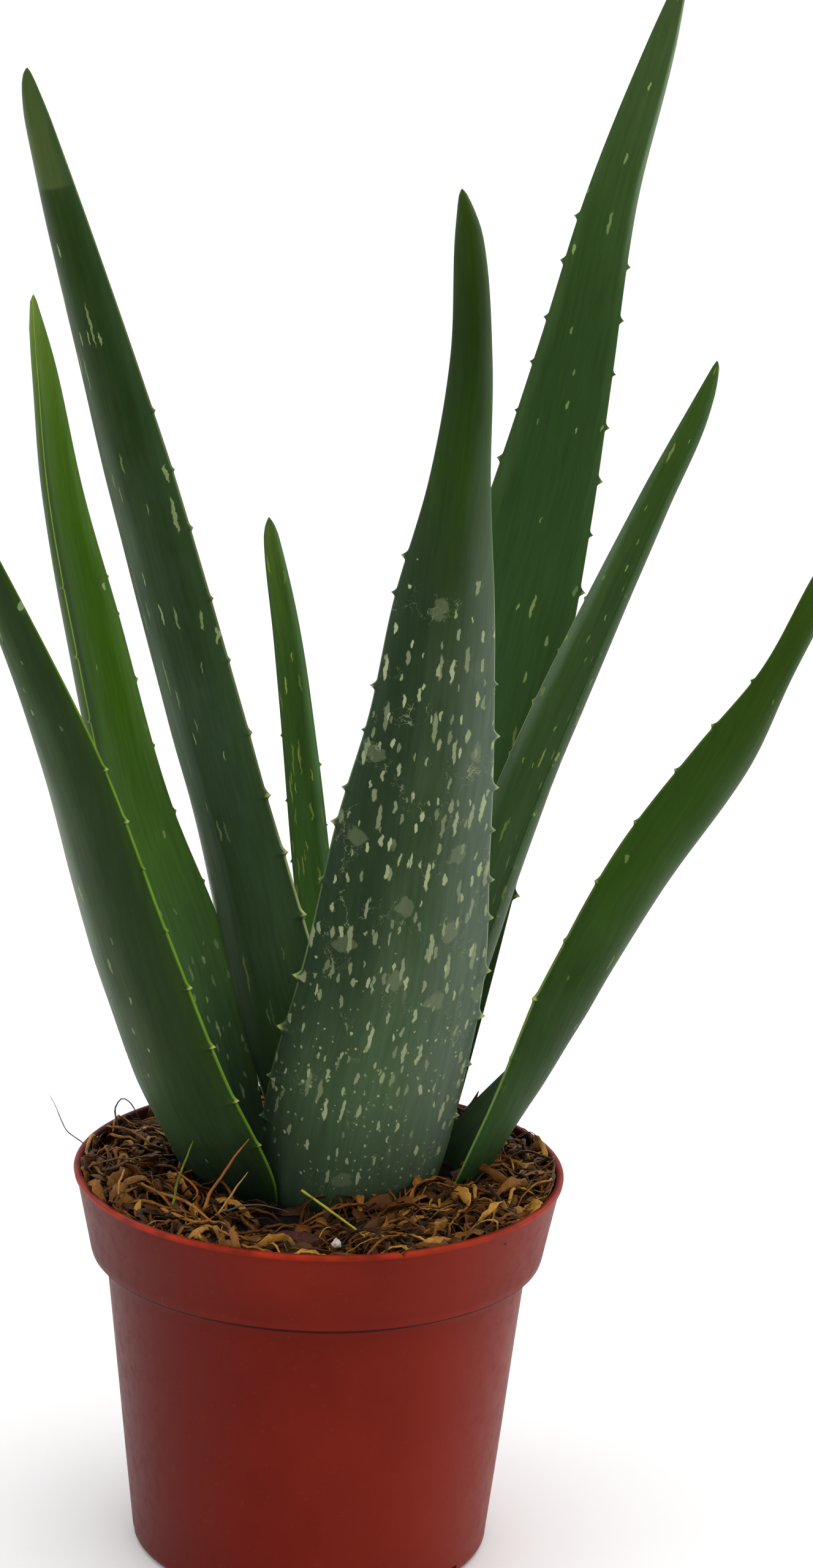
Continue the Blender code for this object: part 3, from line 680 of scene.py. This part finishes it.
                    ((0.3, 0.0), (0.4, 0.6), (0.5, 0.1), (0.75, 0.2), (0.88, 0.9))),
               Band(1, *RIM, (130, 162, 82), ((0.0, 0.7), (0.2, 0.9), (0.5, 0.2)))),
        inner=((86, 112, 78), ((0.03, 0.6), (0.1, 1.0), (0.35, 1.0), (0.5, 0.0))),
        bloom=((0.1, 0.0), (0.25, 0.15), (0.5, 0.05), (0.7, 0.0)), bloom_colour=(76, 96, 70),
        flecks=((0.0, 0.04), (0.9, 0.04)), fleck_colour=(110, 130, 70), fleck_size=(3.4, 9.0, 0.1),
        blotches=NONE),
}


def leaf_look(name, skin):
    """Waxy leaf skin: tones along it, bands along its margins (painted light and shade, and pale rims),
    bloom, pale flecks and horny teeth.
    """
    look = Look(name, specular=0.12, specular_tint=(0.7, 1.0, 0.3))
    place = look.attribute("leaf_map", "Vector")
    share = look.attribute("share")
    side = look.attribute("side")
    tooth = look.attribute("tooth")
    fine = look.noise(look.vector("MULTIPLY", place, (0.9, 0.06, 1.0)), 1.0, 4.0)
    patch = look.noise(look.vector("MULTIPLY", place, (0.16, 0.035, 1.0)), 1.0, 4.0)
    shifted = look.math("ADD", share, look.times(look.math("SUBTRACT", patch, 0.5), 0.06))
    colour = look.ramp(shifted, skin.tones)
    if skin.tip:
        start, value = skin.tip
        colour = look.mix(look.step(share, start, start + 0.004), colour, value)
    bloom = look.ramp(share, skin.bloom)
    cloudy = look.noise(look.vector("MULTIPLY", place, (0.11, 0.05, 1.0)), 1.0, 5.0, 0.6)
    cloud = look.step(cloudy, 0.3, 0.72)
    colour = look.mix(look.times(bloom, cloud), colour, skin.bloom_colour)
    # Bands: broad ones paint shade and sheen along the leaf's sides; thin RIM ones are the margins' own
    # pale colour.
    for band in skin.bands:
        reach = look.step(look.times(side, float(band.side)), band.start, band.end)
        ragged = look.math("ADD", 0.65, look.times(patch, 0.7))
        amount = look.times(reach, ragged, look.ramp(share, band.amounts))
        colour = look.mix(amount, colour, band.colour)
    if skin.inner:
        value, amounts = skin.inner
        within = look.step(look.attribute("outer"), 0.4, 0.1)
        colour = look.mix(look.times(within, look.ramp(share, amounts)), colour, value)
    streak = look.ramp(fine, [(0.25, 0.8), (0.5, 1.0), (0.8, 1.22)])
    colour = look.mix(1.0, colour, streak, "MULTIPLY")
    mark = fleck_mask(look, place, share, skin)
    colour = look.mix(mark, colour, skin.fleck_colour)
    colour = look.mix(look.step(tooth, 0.3, 0.75), colour, skin.tooth_colour)
    colour = look.mix(look.times(look.step(tooth, 0.55, 1.0), look.step(share, 0.3, 0.6), 0.8),
                      colour, (112, 64, 44))
    rough = look.math("ADD", 0.36, look.times(patch, 0.22))
    rough = look.math("ADD", rough, look.times(bloom, 0.15))
    grain = look.noise(place, 2.2, 3.0, 0.6)
    height = look.math("ADD", look.times(fine, 0.7), look.times(grain, 0.25))
    height = look.math("ADD", height, look.times(mark, 0.35))
    return look.finish(Base_Color=colour, Roughness=rough, Normal=look.bump(height, 0.00025, 0.6))


def dashes(look, place, offset, size, density):
    """Pale dashes along the leaf, one at most in each cell; size is cell width, length and reach."""
    wide, long, reach = size
    moved = look.vector("ADD", place, (offset, 1.7 * offset, 0.0))
    distance, dice = look.cells(look.vector("MULTIPLY", moved, (1 / wide, 1 / long, 1.0)))
    chosen = look.step(look.math("SUBTRACT", density, dice[0]), 0.0, 0.02)
    extent = look.math("MULTIPLY_ADD", dice[1], reach * 0.8, reach * 0.55)
    body = look.step(look.math("DIVIDE", distance, extent), 1.1, 0.8)
    return look.times(body, chosen, look.math("MULTIPLY_ADD", dice[2], 0.65, 0.3))


SPECK_SIZE = (2.0, 2.8, 0.13)


def fleck_mask(look, place, share, skin):
    """Pale dashes along the leaf, small round flecks, a few joined squiggles and broad faint blotches."""
    wide, long, size = skin.fleck_size
    bent = look.wobble(place, 0.45, 1.5)
    density = look.ramp(share, skin.flecks)
    short = dashes(look, bent, 0.0, (wide, long, size), density)
    tall = dashes(look, bent, 31.0, (wide * 1.15, long * 2.1, size * 0.95), look.times(density, 0.6))
    small = dashes(look, bent, 57.0, SPECK_SIZE, look.ramp(share, skin.specks))
    short = look.math("MAXIMUM", short, small)
    amount = look.ramp(share, skin.blotches)
    warped = look.wobble(look.wobble(place, 0.22, 5.0), 0.9, 1.6)
    far, odds = look.cells(look.vector("MULTIPLY", warped, (0.085, 0.075, 1.0)))
    broad = look.times(look.step(far, 0.2, 0.15),
                       look.step(look.math("SUBTRACT", look.times(amount, 0.45), odds[0]), 0.0, 0.02), 0.16)
    line = look.noise(look.vector("MULTIPLY", warped, (0.22, 0.07, 1.0)), 1.0, 0.0)
    thin = look.step(look.math("ABSOLUTE", look.math("SUBTRACT", line, 0.5)), 0.011, 0.005)
    where = look.step(look.noise(place, 0.1, 0.0), 0.57, 0.62)
    curl = look.times(thin, where, amount, 0.7)
    return look.math("MAXIMUM", look.math("MAXIMUM", look.math("MAXIMUM", short, tall), broad), curl)


for number, (leaf_name, leaf_shape) in enumerate(LEAVES.items()):
    build_leaf(leaf_name, leaf_shape, leaf_look(leaf_name, SKINS[leaf_name]), number + 1)


# ---------------------------------------------------------------- pot


def arc(centre, radius, start, end, steps):
    """Points on an arc in the (radius, height) plane, angles in degrees."""
    angles = [math.radians(start + (end - start) * i / steps) for i in range(steps + 1)]
    return [(centre[0] + radius * math.cos(a), centre[1] + radius * math.sin(a)) for a in angles]


def between(first, last, steps):
    """Points on a straight line, without its ends."""
    return [(first[0] + (last[0] - first[0]) * i / steps, first[1] + (last[1] - first[1]) * i / steps)
            for i in range(1, steps)]


def pot_outline():
    """Outline of the pot's wall (radius, height), from the underside's middle round to the floor's."""
    band_foot = POT_HEIGHT - BAND_HEIGHT
    band_top = POT_HEIGHT - LIP_HEIGHT
    foot = arc((BODY_FOOT_RADIUS - FOOT_CORNER, FOOT_CORNER), FOOT_CORNER, -90, 4, 8)
    body_top = (BODY_TOP_RADIUS, band_foot - 0.7)
    band_low = (BAND_FOOT_RADIUS, band_foot + 0.9)
    band_high = (LIP_RADIUS - LIP_PROUD, band_top - 0.2)
    outside = [(r, 0) for r in (0, 12, 24, 34)] + foot
    outside += between(foot[-1], body_top, 24) + [body_top]
    outside += [(BODY_TOP_RADIUS + 0.35, band_foot - 0.12), (BAND_FOOT_RADIUS - 0.75, band_foot),
                (BAND_FOOT_RADIUS - 0.2, band_foot + 0.25), band_low]
    outside += between(band_low, band_high, 8) + [band_high]
    outside.append((LIP_RADIUS - 0.15, band_top + 0.1))
    outside += arc((LIP_RADIUS - 0.45, POT_HEIGHT - 0.45), 0.45, 0, 90, 4)
    inside = arc((LIP_INNER + 0.35, POT_HEIGHT - 0.35), 0.35, 90, 180, 3)
    inside += between(inside[-1], (BAND_INNER, LEDGE + 0.6), 6)
    inside += [(BAND_INNER, LEDGE + 0.6), (BODY_INNER, LEDGE - 0.6), (FOOT_INNER, FLOOR + 1.6),
               (FOOT_INNER - 1.6, FLOOR), (20, FLOOR), (0, FLOOR)]
    return outside + inside


def build_pot(material):
    """Thin moulded pot with drain slots through the corner of its foot and a nick in its lip."""
    outline = pot_outline()
    points = []
    rows = outline[1:-1]
    for radius, height in rows:
        for i in range(POT_SEGMENTS):
            a = 2 * math.pi * i / POT_SEGMENTS
            drift = 0.18 * noise.noise(Vector((2 * math.cos(a), 2 * math.sin(a), height / 40)))
            r = radius + drift * min(height / 20, 1)
            z = height
            if i == NICK_ANGLE % 360 and height > POT_HEIGHT - 0.6:
                z -= NICK_DEPTH
            points.append((r * math.cos(a), r * math.sin(a), z))
    faces = ring_faces(len(rows), POT_SEGMENTS)
    for row, (_, height) in ((0, outline[0]), (len(rows) - 1, outline[-1])):
        faces += fan(len(points), row * POT_SEGMENTS, POT_SEGMENTS, row == 0)
        points.append((0, 0, height))
    pot = mesh_piece("pot_shell", points, faces, material, {}, "pot")
    cutter = drain_cutter()
    cut = pot.modifiers.new("drain_slots", "BOOLEAN")
    cut.operation = "DIFFERENCE"
    cut.solver = "EXACT"
    cut.object = cutter
    bpy.context.view_layer.update()
    whole = bpy.data.meshes.new_from_object(pot.evaluated_get(bpy.context.evaluated_depsgraph_get()))
    pot.modifiers.clear()
    pot.data = whole
    whole.shade_smooth()
    whole.set_sharp_from_angle(angle=math.radians(35))
    bpy.data.objects.remove(cutter)


def drain_cutter():
    """Round-ended blocks where the drain slots go."""
    bm = bmesh.new()
    for number in range(DRAIN_SLOTS):
        turn = Matrix.Rotation(math.radians(DRAIN_FIRST_ANGLE + number * 360 / DRAIN_SLOTS), 4, "Z")
        place = turn @ Matrix.Translation((DRAIN_CENTRE_RADIUS, 0, 0)) @ Matrix.Diagonal((*DRAIN_SIZE, 1))
        block = bmesh.ops.create_cube(bm, size=1.0, matrix=place)
        upright = [edge for edge in bm.edges
                   if edge.verts[0] in block["verts"] and abs((edge.verts[0].co - edge.verts[1].co).z) > 1]
        bmesh.ops.bevel(bm, geom=upright, offset=DRAIN_CORNER, segments=6, affect="EDGES")
    bmesh.ops.scale(bm, vec=(MM, MM, MM), verts=bm.verts)
    mesh = bpy.data.meshes.new("drain_cutter")
    bm.to_mesh(mesh)
    bm.free()
    cutter = bpy.data.objects.new("drain_cutter", mesh)
    bpy.context.scene.collection.objects.link(cutter)
    return cutter


WALL_SLOPE = (LIP_RADIUS - LIP_PROUD - BAND_FOOT_RADIUS) / (BAND_HEIGHT - WALL)
WALL_START = MM * (LIP_INNER - WALL_SLOPE * POT_HEIGHT)
# Heights of the painted shade line under the band, of the inner wall's painted shade and soil, and of the
# lip's painted highlight.
BAND_SHADE_LOW = 0.0743
BAND_SHADE_HIGH = 0.0764
BAND_SHADE_EDGE = 0.0003
SOIL_AND_SHADE_LOW = 0.0775
LIP_HIGHLIGHT_LOW = 0.0953


def pot_look():
    """Terracotta-red moulded plastic: mottling, scuffs, painted shade on its left and painted light on its
    right, a painted highlight on the front of the lip, a dark line of painted shade and some dirt under the
    band, and painted shade with soil on the inner wall.
    """
    look = Look("pot_plastic", specular=0.16, specular_tint=(1.0, 0.4, 0.3))
    place = look.place()
    across, depth, height = look.parts(place)
    broad = look.noise(place, 18.0, 4.0)
    speck = look.noise(place, 900.0, 2.0)
    colour = look.ramp(broad, [(0.3, (94, 19, 11)), (0.5, (107, 25, 14)), (0.7, (118, 31, 18))])
    # Painted shade and light: the pot's left side is darkened and its right side lightened, as the light
    # falls on it.
    colour = look.mix(look.step(across, -0.005, -0.045), colour, (84, 22, 18))
    colour = look.mix(look.times(look.step(across, 0.01, 0.035), 0.6), colour, (126, 33, 18))
    colour = look.mix(look.times(look.step(speck, 0.6, 0.8), 0.2), colour, (140, 62, 46))
    front = look.step(depth, 0.03, -0.01)
    # Painted highlight: a patchy lighter orange line along the front of the lip, where the rim edge catches
    # the light.
    lip_highlight = look.times(look.step(height, LIP_HIGHLIGHT_LOW, 0.0967),
                      look.step(look.noise(place, 120.0, 3.0), 0.2, 0.7), front)
    colour = look.mix(lip_highlight, colour, (160, 44, 20))
    # Painted shade with soil: the collar's inner wall is darkened in patches and made rougher, standing for
    # both the shade inside the rim and soil smudges.
    radius = look.math("SQRT", look.math("ADD", look.times(across, across), look.times(depth, depth)))
    clear = look.math("SUBTRACT", radius, look.math("MULTIPLY_ADD", height, WALL_SLOPE, WALL_START))
    soil_and_shade = look.times(look.step(clear, 0.0014, 0.0004), look.step(look.noise(place, 90.0, 4.0), 0.1, 0.5),
                      look.step(height, SOIL_AND_SHADE_LOW, 0.0785))
    wall_shade_and_soil = look.times(soil_and_shade, look.math("SUBTRACT", 0.9, look.times(front, 0.3)))
    colour = look.mix(wall_shade_and_soil, colour, (44, 17, 11))
    # Painted shade: a near-black line on the body just under the band's foot, where the band shades it,
    # with some dirt.
    band_shade = look.times(look.step(height, BAND_SHADE_LOW, BAND_SHADE_LOW + BAND_SHADE_EDGE),
                      look.step(height, BAND_SHADE_HIGH + BAND_SHADE_EDGE, BAND_SHADE_HIGH))
    colour = look.mix(look.times(band_shade, 0.9), colour, (14, 3, 3))
    scuffs = look.noise(place, 260.0, 4.0, 0.7)
    rough = look.math("ADD", 0.44, look.times(look.step(scuffs, 0.4, 0.75), 0.1))
    rough = look.math("ADD", rough, look.times(soil_and_shade, 0.35))
    grain = look.noise(place, 1400.0, 2.0)
    relief = look.math("ADD", look.times(grain, 0.5), look.times(look.noise(place, 60.0, 2.0), 0.9))
    return look.finish(Base_Color=colour, Roughness=rough, Normal=look.bump(relief, 0.00005, 0.3))


build_pot(pot_look())


# ---------------------------------------------------------------- mix, stem and mulch


def wall_radius(height):
    """Inner radius of the pot's collar at a height."""
    share = min(max((height - LEDGE) / (POT_HEIGHT - LEDGE), 0), 1.2)
    return BAND_INNER + (LIP_INNER - BAND_INNER) * share


def hollow_depth(x, y):
    """How deep the bare hollow at the front left is, from 0 to 1."""
    angle = math.degrees(math.atan2(y, x)) % 360
    radius = math.hypot(x, y)
    turn = math.exp(-((angle - HOLLOW_ANGLE) / HOLLOW_WIDTH) ** 2)
    return turn * min(max((50 - radius) / 12, 0), 1)


def mix_height(x, y):
    """Height of the mix's top."""
    rough = 0.9 * noise.noise(Vector((x, y, 3)) / 9) + 0.5 * noise.noise(Vector((x, y, 8)) / 3)
    rough += 0.3 * noise.noise(Vector((x, y, 1)) / 1.2)
    return MIX_TOP + 1.6 + rough - 2.5 * hollow_depth(x, y)


def mulch_height(x, y):
    """Height of the mulch's top: a loose heap, fullest at the right and the left."""
    angle = math.degrees(math.atan2(y, x)) % 360
    heap = 2.2 * math.exp(-((min(angle, 360 - angle) - 8) / 50) ** 2)
    heap += 1.6 * math.exp(-((angle - 180) / 40) ** 2)
    lump = 1.5 * noise.noise(Vector((x, y, 30)) / 11)
    return MIX_TOP + 3.6 + heap + lump - 3.6 * hollow_depth(x, y)


def build_mix(material):
    """Mix with a crumbly top that closes round the leaves' feet."""
    rings, around = 62, 180
    points = []
    top_radius = wall_radius(MIX_TOP) - 0.5
    for i in range(rings):
        radius = top_radius * (1 - i / rings)
        for k in range(around):
            a = 2 * math.pi * k / around
            x, y = radius * math.cos(a), radius * math.sin(a)
            points.append((x, y, mix_height(x, y)))
    skirt = [(wall_radius(LEDGE + 1) - 0.6, LEDGE + 1.2), (BODY_INNER - 1.0, LEDGE - 0.2),
             (BODY_INNER - 3.0, MIX_FOOT)]
    first = len(points)
    for radius, height in skirt:
        for k in range(around):
            a = 2 * math.pi * k / around
            points.append((radius * math.cos(a), radius * math.sin(a), height))
    foot = first + (len(skirt) - 1) * around
    faces = ring_faces(rings, around)
    for upper, lower in ((0, first), (first, first + around), (first + around, foot)):
        for k in range(around):
            j = (k + 1) % around
            faces.append((lower + k, lower + j, upper + j, upper + k))
    centre = len(points)
    points.append((0, 0, mix_height(0, 0)))
    points.append((0, 0, MIX_FOOT))
    for k in range(around):
        j = (k + 1) % around
        faces.append(((rings - 1) * around + k, (rings - 1) * around + j, centre))
        faces.append((foot + j, foot + k, centre + 1))
    return mesh_piece("potting_mix_bed", points, faces, material, {}, "potting_mix")


def mix_look():
    """Near-black damp mix with brown crumbs."""
    look = Look("potting_mix", specular=0.2)
    crumb = look.noise(look.place(), 420.0, 5.0, 0.65)
    stops = [(0.3, (5, 4, 4)), (0.55, (20, 13, 9)), (0.72, (48, 30, 18)), (0.85, (84, 56, 32))]
    return look.grainy(crumb, stops, 0.7, 0.25, 0.0015, 0.9)


def fibre_look(name, stops, specular=0.3):
    """Dry plant fibre: each strand has its own tint, with fine streaks and darker blots."""
    look = Look(name, specular=specular, specular_tint=(1.0, 0.72, 0.4))
    place = look.place()
    tint = look.attribute("tint")
    streak = look.noise(place, 700.0, 3.0, 0.6)
    shift = look.math("ADD", tint, look.times(look.math("SUBTRACT", streak, 0.5), 0.45))
    colour = look.ramp(shift, stops)
    blot = look.noise(place, 160.0, 3.0)
    colour = look.mix(look.times(look.step(blot, 0.52, 0.72), 0.6), colour, (38, 20, 10))
    rough = look.math("ADD", 0.38, look.times(streak, 0.35))
    return look.finish(Base_Color=colour, Roughness=rough, Normal=look.bump(streak, 0.0003, 0.7))


def keep_in_pot(x, y, z):
    """Pull a point back inside the pot's wall, unless it is above the lip."""
    limit = wall_radius(min(z, POT_HEIGHT)) - 0.7
    radius = math.hypot(x, y)
    if radius > limit:
        x, y = x * limit / radius, y * limit / radius
    return x, y


def in_rosette(x, y, grow=0.0):
    """True over the leaves' feet."""
    u = (x - ROSETTE_CENTRE[0]) / (ROSETTE_RADII[0] - 3 + grow)
    v = (y - ROSETTE_CENTRE[1]) / (ROSETTE_RADII[1] - 3 + grow)
    return u * u + v * v < 1


def loose_route(dice, step, count, lift, sway):
    """Wandering route over the mulch, that starts and ends down in it."""
    while True:
        angle = dice.uniform(0, 2 * math.pi)
        radius = 57 * math.sqrt(dice.uniform(0.2, 1))
        x, y = radius * math.cos(angle), radius * math.sin(angle)
        bare = hollow_depth(x, y)
        if not in_rosette(x, y) and dice.random() > 0.93 * bare:
            break
    heading = angle + math.pi / 2 + dice.gauss(0, 0.9)
    base = dice.uniform(-2.6, 0.4)
    top = dice.uniform(0.2, 1.0) * lift
    route = []
    for i in range(count):
        share = i / (count - 1)
        arch = math.sin(math.pi * share)
        z = mulch_height(x, y) + base - 1.2 + (1.2 + top) * arch ** 0.8
        px, py = keep_in_pot(x, y, z)
        route.append((px, py, z + 0.35 * dice.uniform(-1, 1)))
        heading += dice.gauss(0, sway)
        x += step * math.cos(heading)
        y += step * math.sin(heading)
        if in_rosette(x, y, -1.0):
            heading += 2.0
            x += 2 * step * math.cos(heading)
            y += 2 * step * math.sin(heading)
    return route


def build_mulch(material):
    """Tangled coir: a bed of husk flakes, then coarse and fine fibres over it."""
    dice = random.Random(11)
    tangle = Tubes()
    for _ in range(760):
        count = dice.randint(5, 9)
        route = loose_route(dice, dice.uniform(1.0, 2.2), count, 2.0, 0.45)
        width = dice.uniform(0.6, 2.0)
        radii = [width * (0.15 + math.sin(math.pi * (i + 0.35) / count)) * dice.uniform(0.5, 1.25)
                 for i in range(count)]
        tint = dice.betavariate(1.3, 2.4)
        tangle.add(route, radii, tint, 8, 0.16, dice.gauss(0, 0.7), dice.gauss(0, 1.4))
    for _ in range(150):
        count = dice.randint(9, 15)
        route = loose_route(dice, dice.uniform(1.1, 2.0), count, 4.6, 0.3)
        width = dice.uniform(0.6, 1.3)
        radii = [width * (0.2 + math.sin(math.pi * (i + 0.3) / count) ** 0.7) * dice.uniform(0.6, 1.15)
                 for i in range(count)]
        tint = dice.uniform(0.45, 1.0)
        tangle.add(route, radii, tint, 10, 0.25, dice.gauss(0, 0.8), dice.gauss(0, 2.2))
    for _ in range(620):
        count = dice.randint(9, 17)
        route = loose_route(dice, dice.uniform(1.0, 2.0), count, 4.4, 0.3)
        thick = dice.choice((0.14, 0.2, 0.3, 0.42, 0.55))
        radii = [thick * (0.4 + 0.6 * math.sin(math.pi * (i + 0.5) / count)) * dice.uniform(0.8, 1.2)
                 for i in range(count)]
        tangle.add(route, radii, dice.betavariate(1.7, 1.5), 6, 0.7)
    return tangle.piece("coir_tangle", material, "coir", "coir_mulch")


COIR_TONES = [(0.0, (12, 5, 3)), (0.3, (40, 19, 8)), (0.55, (84, 46, 15)),
              (0.78, (128, 80, 26)), (1.0, (190, 140, 62))]
build_mix(mix_look())
build_mulch(fibre_look("coir", COIR_TONES, 0.35))


# ---------------------------------------------------------------- single strands, chips and grains

# Each strand's slot, tint, radius and route.
STRANDS = {
    "straw_green": ("green_straw", 0.45, 0.32, [(-35, -24, 94.8), (-33.5, -20, 101),
        (-30.5, -14, 108)]),
    "strand_orange": ("strand", 0.6, 0.42, [(-27.5, -27, 94.8), (-26, -25, 98.5),
        (-22.5, -24, 104), (-20, -23.5, 108), (-17, -23, 112)]),
    "strand_pale": ("strand", 0.9, 0.28, [(-24, -29, 94.6), (-20.5, -26.5, 99.5), (-17, -24, 104)]),
    "strand_tan_upper": ("strand", 0.7, 0.5, [(-43.5, -12, 94.8), (-38, -17, 95.2),
        (-31.5, -24, 95.8), (-27.5, -31, 95.6), (-24, -37.5, 94.9)]),
    "strand_tan_long": ("strand", 0.75, 0.5, [(-38.5, -25, 94.7), (-32, -33, 95.2),
        (-24.5, -41, 96), (-18, -50.5, 97)]),
    "strand_dark": ("hair", 0.5, 0.28, [(-22.5, -30, 96.1), (-17, -27, 96.6), (-11, -26, 96),
        (-7, -27, 94.9)]),
    "straw_yellow": ("green_straw", 0.8, 0.34, [(-4, -21, 98.5), (3, -29, 96.5), (8, -38, 96.3),
        (11.5, -47, 97)]),
    "strand_bent": ("strand", 0.55, 0.32, [(-34, -15, 100), (-30.5, -18.5, 98.5), (-29, -22, 97.5),
        (-30, -26, 97.2)]),
    "strand_right": ("strand", 0.8, 0.5, [(48, 12, 95.5), (48.5, 3, 95), (49, -5, 94.8),
        (45, -18, 94.8), (41, -29, 95)]),
    "hair_left": ("hair", 0.5, 0.16, [(-54.5, 5.5, 95.5), (-58.5, 7.5, 98.6), (-62.5, 11, 100.2),
        (-65, 16, 103), (-67.5, 21, 106)]),
    "hair_loop": ("hair", 0.5, 0.22, [(-50, 24, 95), (-51.5, 25.5, 101), (-49.8, 26.5, 103.6),
        (-47.5, 27, 102), (-44.5, 28, 95.5)]),
}


def build_strand(name, material, seed):
    """Strand with a slight wander and a pointed end."""
    slot, tint, radius, stations = STRANDS[name]
    dice = random.Random(seed)
    count = max(12, round(run_length(stations) / 1.1))
    route, radii = [], []
    for i in range(count):
        share = i / (count - 1)
        spot = Vector(smooth_through(stations, share))
        sway = Vector([0.22 * noise.noise(Vector((i / 3, seed, axis * 9))) for axis in range(3)])
        route.append(spot + sway)
        radii.append(radius * (1.05 - 0.7 * share ** 3) * dice.uniform(0.88, 1.1))
    tube = Tubes()
    tube.add(route, radii, tint, 8, 0.8)
    return tube.piece(name + "_fibre", material, slot, name)


STRAND_LOOKS = {
    "strand": fibre_look("strand", [(0.2, (70, 36, 14)), (0.55, (150, 88, 28)),
                                    (0.75, (164, 104, 44)), (1.0, (178, 140, 84))]),
    "green_straw": fibre_look("green_straw", [(0.2, (70, 84, 22)), (0.5, (120, 130, 40)),
                                              (0.9, (186, 174, 66))]),
    "hair": fibre_look("hair", [(0.2, (40, 42, 40)), (0.8, (92, 92, 88))]),
}
for number, strand_name in enumerate(STRANDS):
    build_strand(strand_name, STRAND_LOOKS[STRANDS[strand_name][0]], number)


def restyle(node, material):
    """Give a CAD node that stays in view its finished material."""
    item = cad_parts[node]
    item.data.materials.clear()
    item.data.materials.append(material)


def bark_look():
    """Dark reddish bark with grain."""
    look = Look("bark", specular=0.3)
    grain = look.noise(look.vector("MULTIPLY", look.place(), (1.0, 1.0, 0.3)), 900.0, 4.0, 0.65)
    stops = [(0.3, (30, 10, 7)), (0.55, (66, 26, 15)), (0.8, (112, 58, 30))]
    return look.grainy(grain, stops, 0.6, 0.3, 0.0004, 0.8)


def perlite_look():
    """White, finely pitted mineral grain."""
    look = Look("perlite", specular=0.4)
    pits = look.noise(look.place(), 1600.0, 4.0, 0.7)
    stops = [(0.35, (150, 140, 124)), (0.6, (226, 220, 208))]
    return look.grainy(pits, stops, 0.6, 0.3, 0.0003, 0.8)


def stem_look():
    """Pale, fibrous stem."""
    look = Look("stem", specular=0.3)
    grain = look.noise(look.vector("MULTIPLY", look.place(), (1.0, 1.0, 0.15)), 600.0, 4.0, 0.6)
    stops = [(0.3, (96, 90, 54)), (0.7, (158, 148, 98))]
    return look.grainy(grain, stops, 0.55, 0.3, 0.0004, 0.7)


bark = bark_look()
perlite = perlite_look()
for node_name in ("bark_chip_back", "bark_chip_front"):
    restyle(node_name, bark)
for node_name in ("perlite_grain_front", "perlite_grain_right"):
    restyle(node_name, perlite)
restyle("stem", stem_look())


# ---------------------------------------------------------------- floor, light and camera


def build_floor():
    """Plain pale floor."""
    bm = bmesh.new()
    bmesh.ops.create_circle(bm, cap_ends=True, segments=128, radius=FLOOR_RADIUS)
    mesh = bpy.data.meshes.new("studio_floor")
    bm.to_mesh(mesh)
    bm.free()
    look = Look("studio_floor", specular=0.2)
    tone_map = look.noise(look.place(), 3.0, 3.0)
    colour = look.ramp(tone_map, [(0.3, 0.96), (0.7, 0.975)])
    mesh.materials.append(look.finish(Base_Color=colour, Roughness=0.7))
    floor = bpy.data.objects.new("studio_floor", mesh)
    bpy.context.scene.collection.objects.link(floor)


def soft_light(name, place, aim, size, power):
    """Square soft light that points at a place."""
    data = bpy.data.lights.new(name, "AREA")
    data.size = size
    data.energy = power
    lamp = bpy.data.objects.new(name, data)
    lamp.location = place
    lamp.rotation_euler = (Vector(aim) - Vector(place)).to_track_quat("-Z", "Y").to_euler()
    bpy.context.scene.collection.objects.link(lamp)


def build_world():
    """Even white surroundings, dimmer towards the front."""
    world = bpy.data.worlds.new("studio")
    world.use_nodes = True
    tree = world.node_tree
    back = tree.nodes["Background"]
    coords = tree.nodes.new("ShaderNodeTexCoord")
    parts = tree.nodes.new("ShaderNodeSeparateXYZ")
    tree.links.new(coords.outputs["Generated"], parts.inputs[0])
    ramp = tree.nodes.new("ShaderNodeMapRange")
    ramp.inputs["From Min"].default_value = -1.0
    ramp.inputs["From Max"].default_value = 0.2
    ramp.inputs["To Min"].default_value = 0.6
    ramp.inputs["To Max"].default_value = 1.0
    tree.links.new(parts.outputs["Y"], ramp.inputs["Value"])
    tree.links.new(ramp.outputs[0], back.inputs["Strength"])
    back.inputs["Color"].default_value = (1, 1, 1, 1)
    bpy.context.scene.world = world


def build_camera():
    """Camera a little above the rim, turned slightly in its own plane."""
    data = bpy.data.cameras.new("camera")
    data.sensor_fit = "VERTICAL"
    data.sensor_height = SENSOR
    data.lens = CAMERA_LENS
    data.clip_start = 0.01
    data.clip_end = 50
    camera = bpy.data.objects.new("camera", data)
    view = Vector(CAMERA_VIEW).normalized()
    level = view.cross(Vector((0, 0, 1))).normalized()
    above = level.cross(view)
    roll = math.radians(CAMERA_ROLL)
    right = level * math.cos(roll) + above * math.sin(roll)
    up = right.cross(view)
    turn = Matrix((right, up, -view)).transposed().to_4x4()
    camera.matrix_world = Matrix.Translation(CAMERA_PLACE) @ turn
    bpy.context.scene.collection.objects.link(camera)
    bpy.context.scene.camera = camera


build_floor()
build_world()
for light_name, light_values in LIGHTS.items():
    soft_light(light_name, *light_values)
build_camera()
bpy.context.scene.view_settings.view_transform = "Standard"
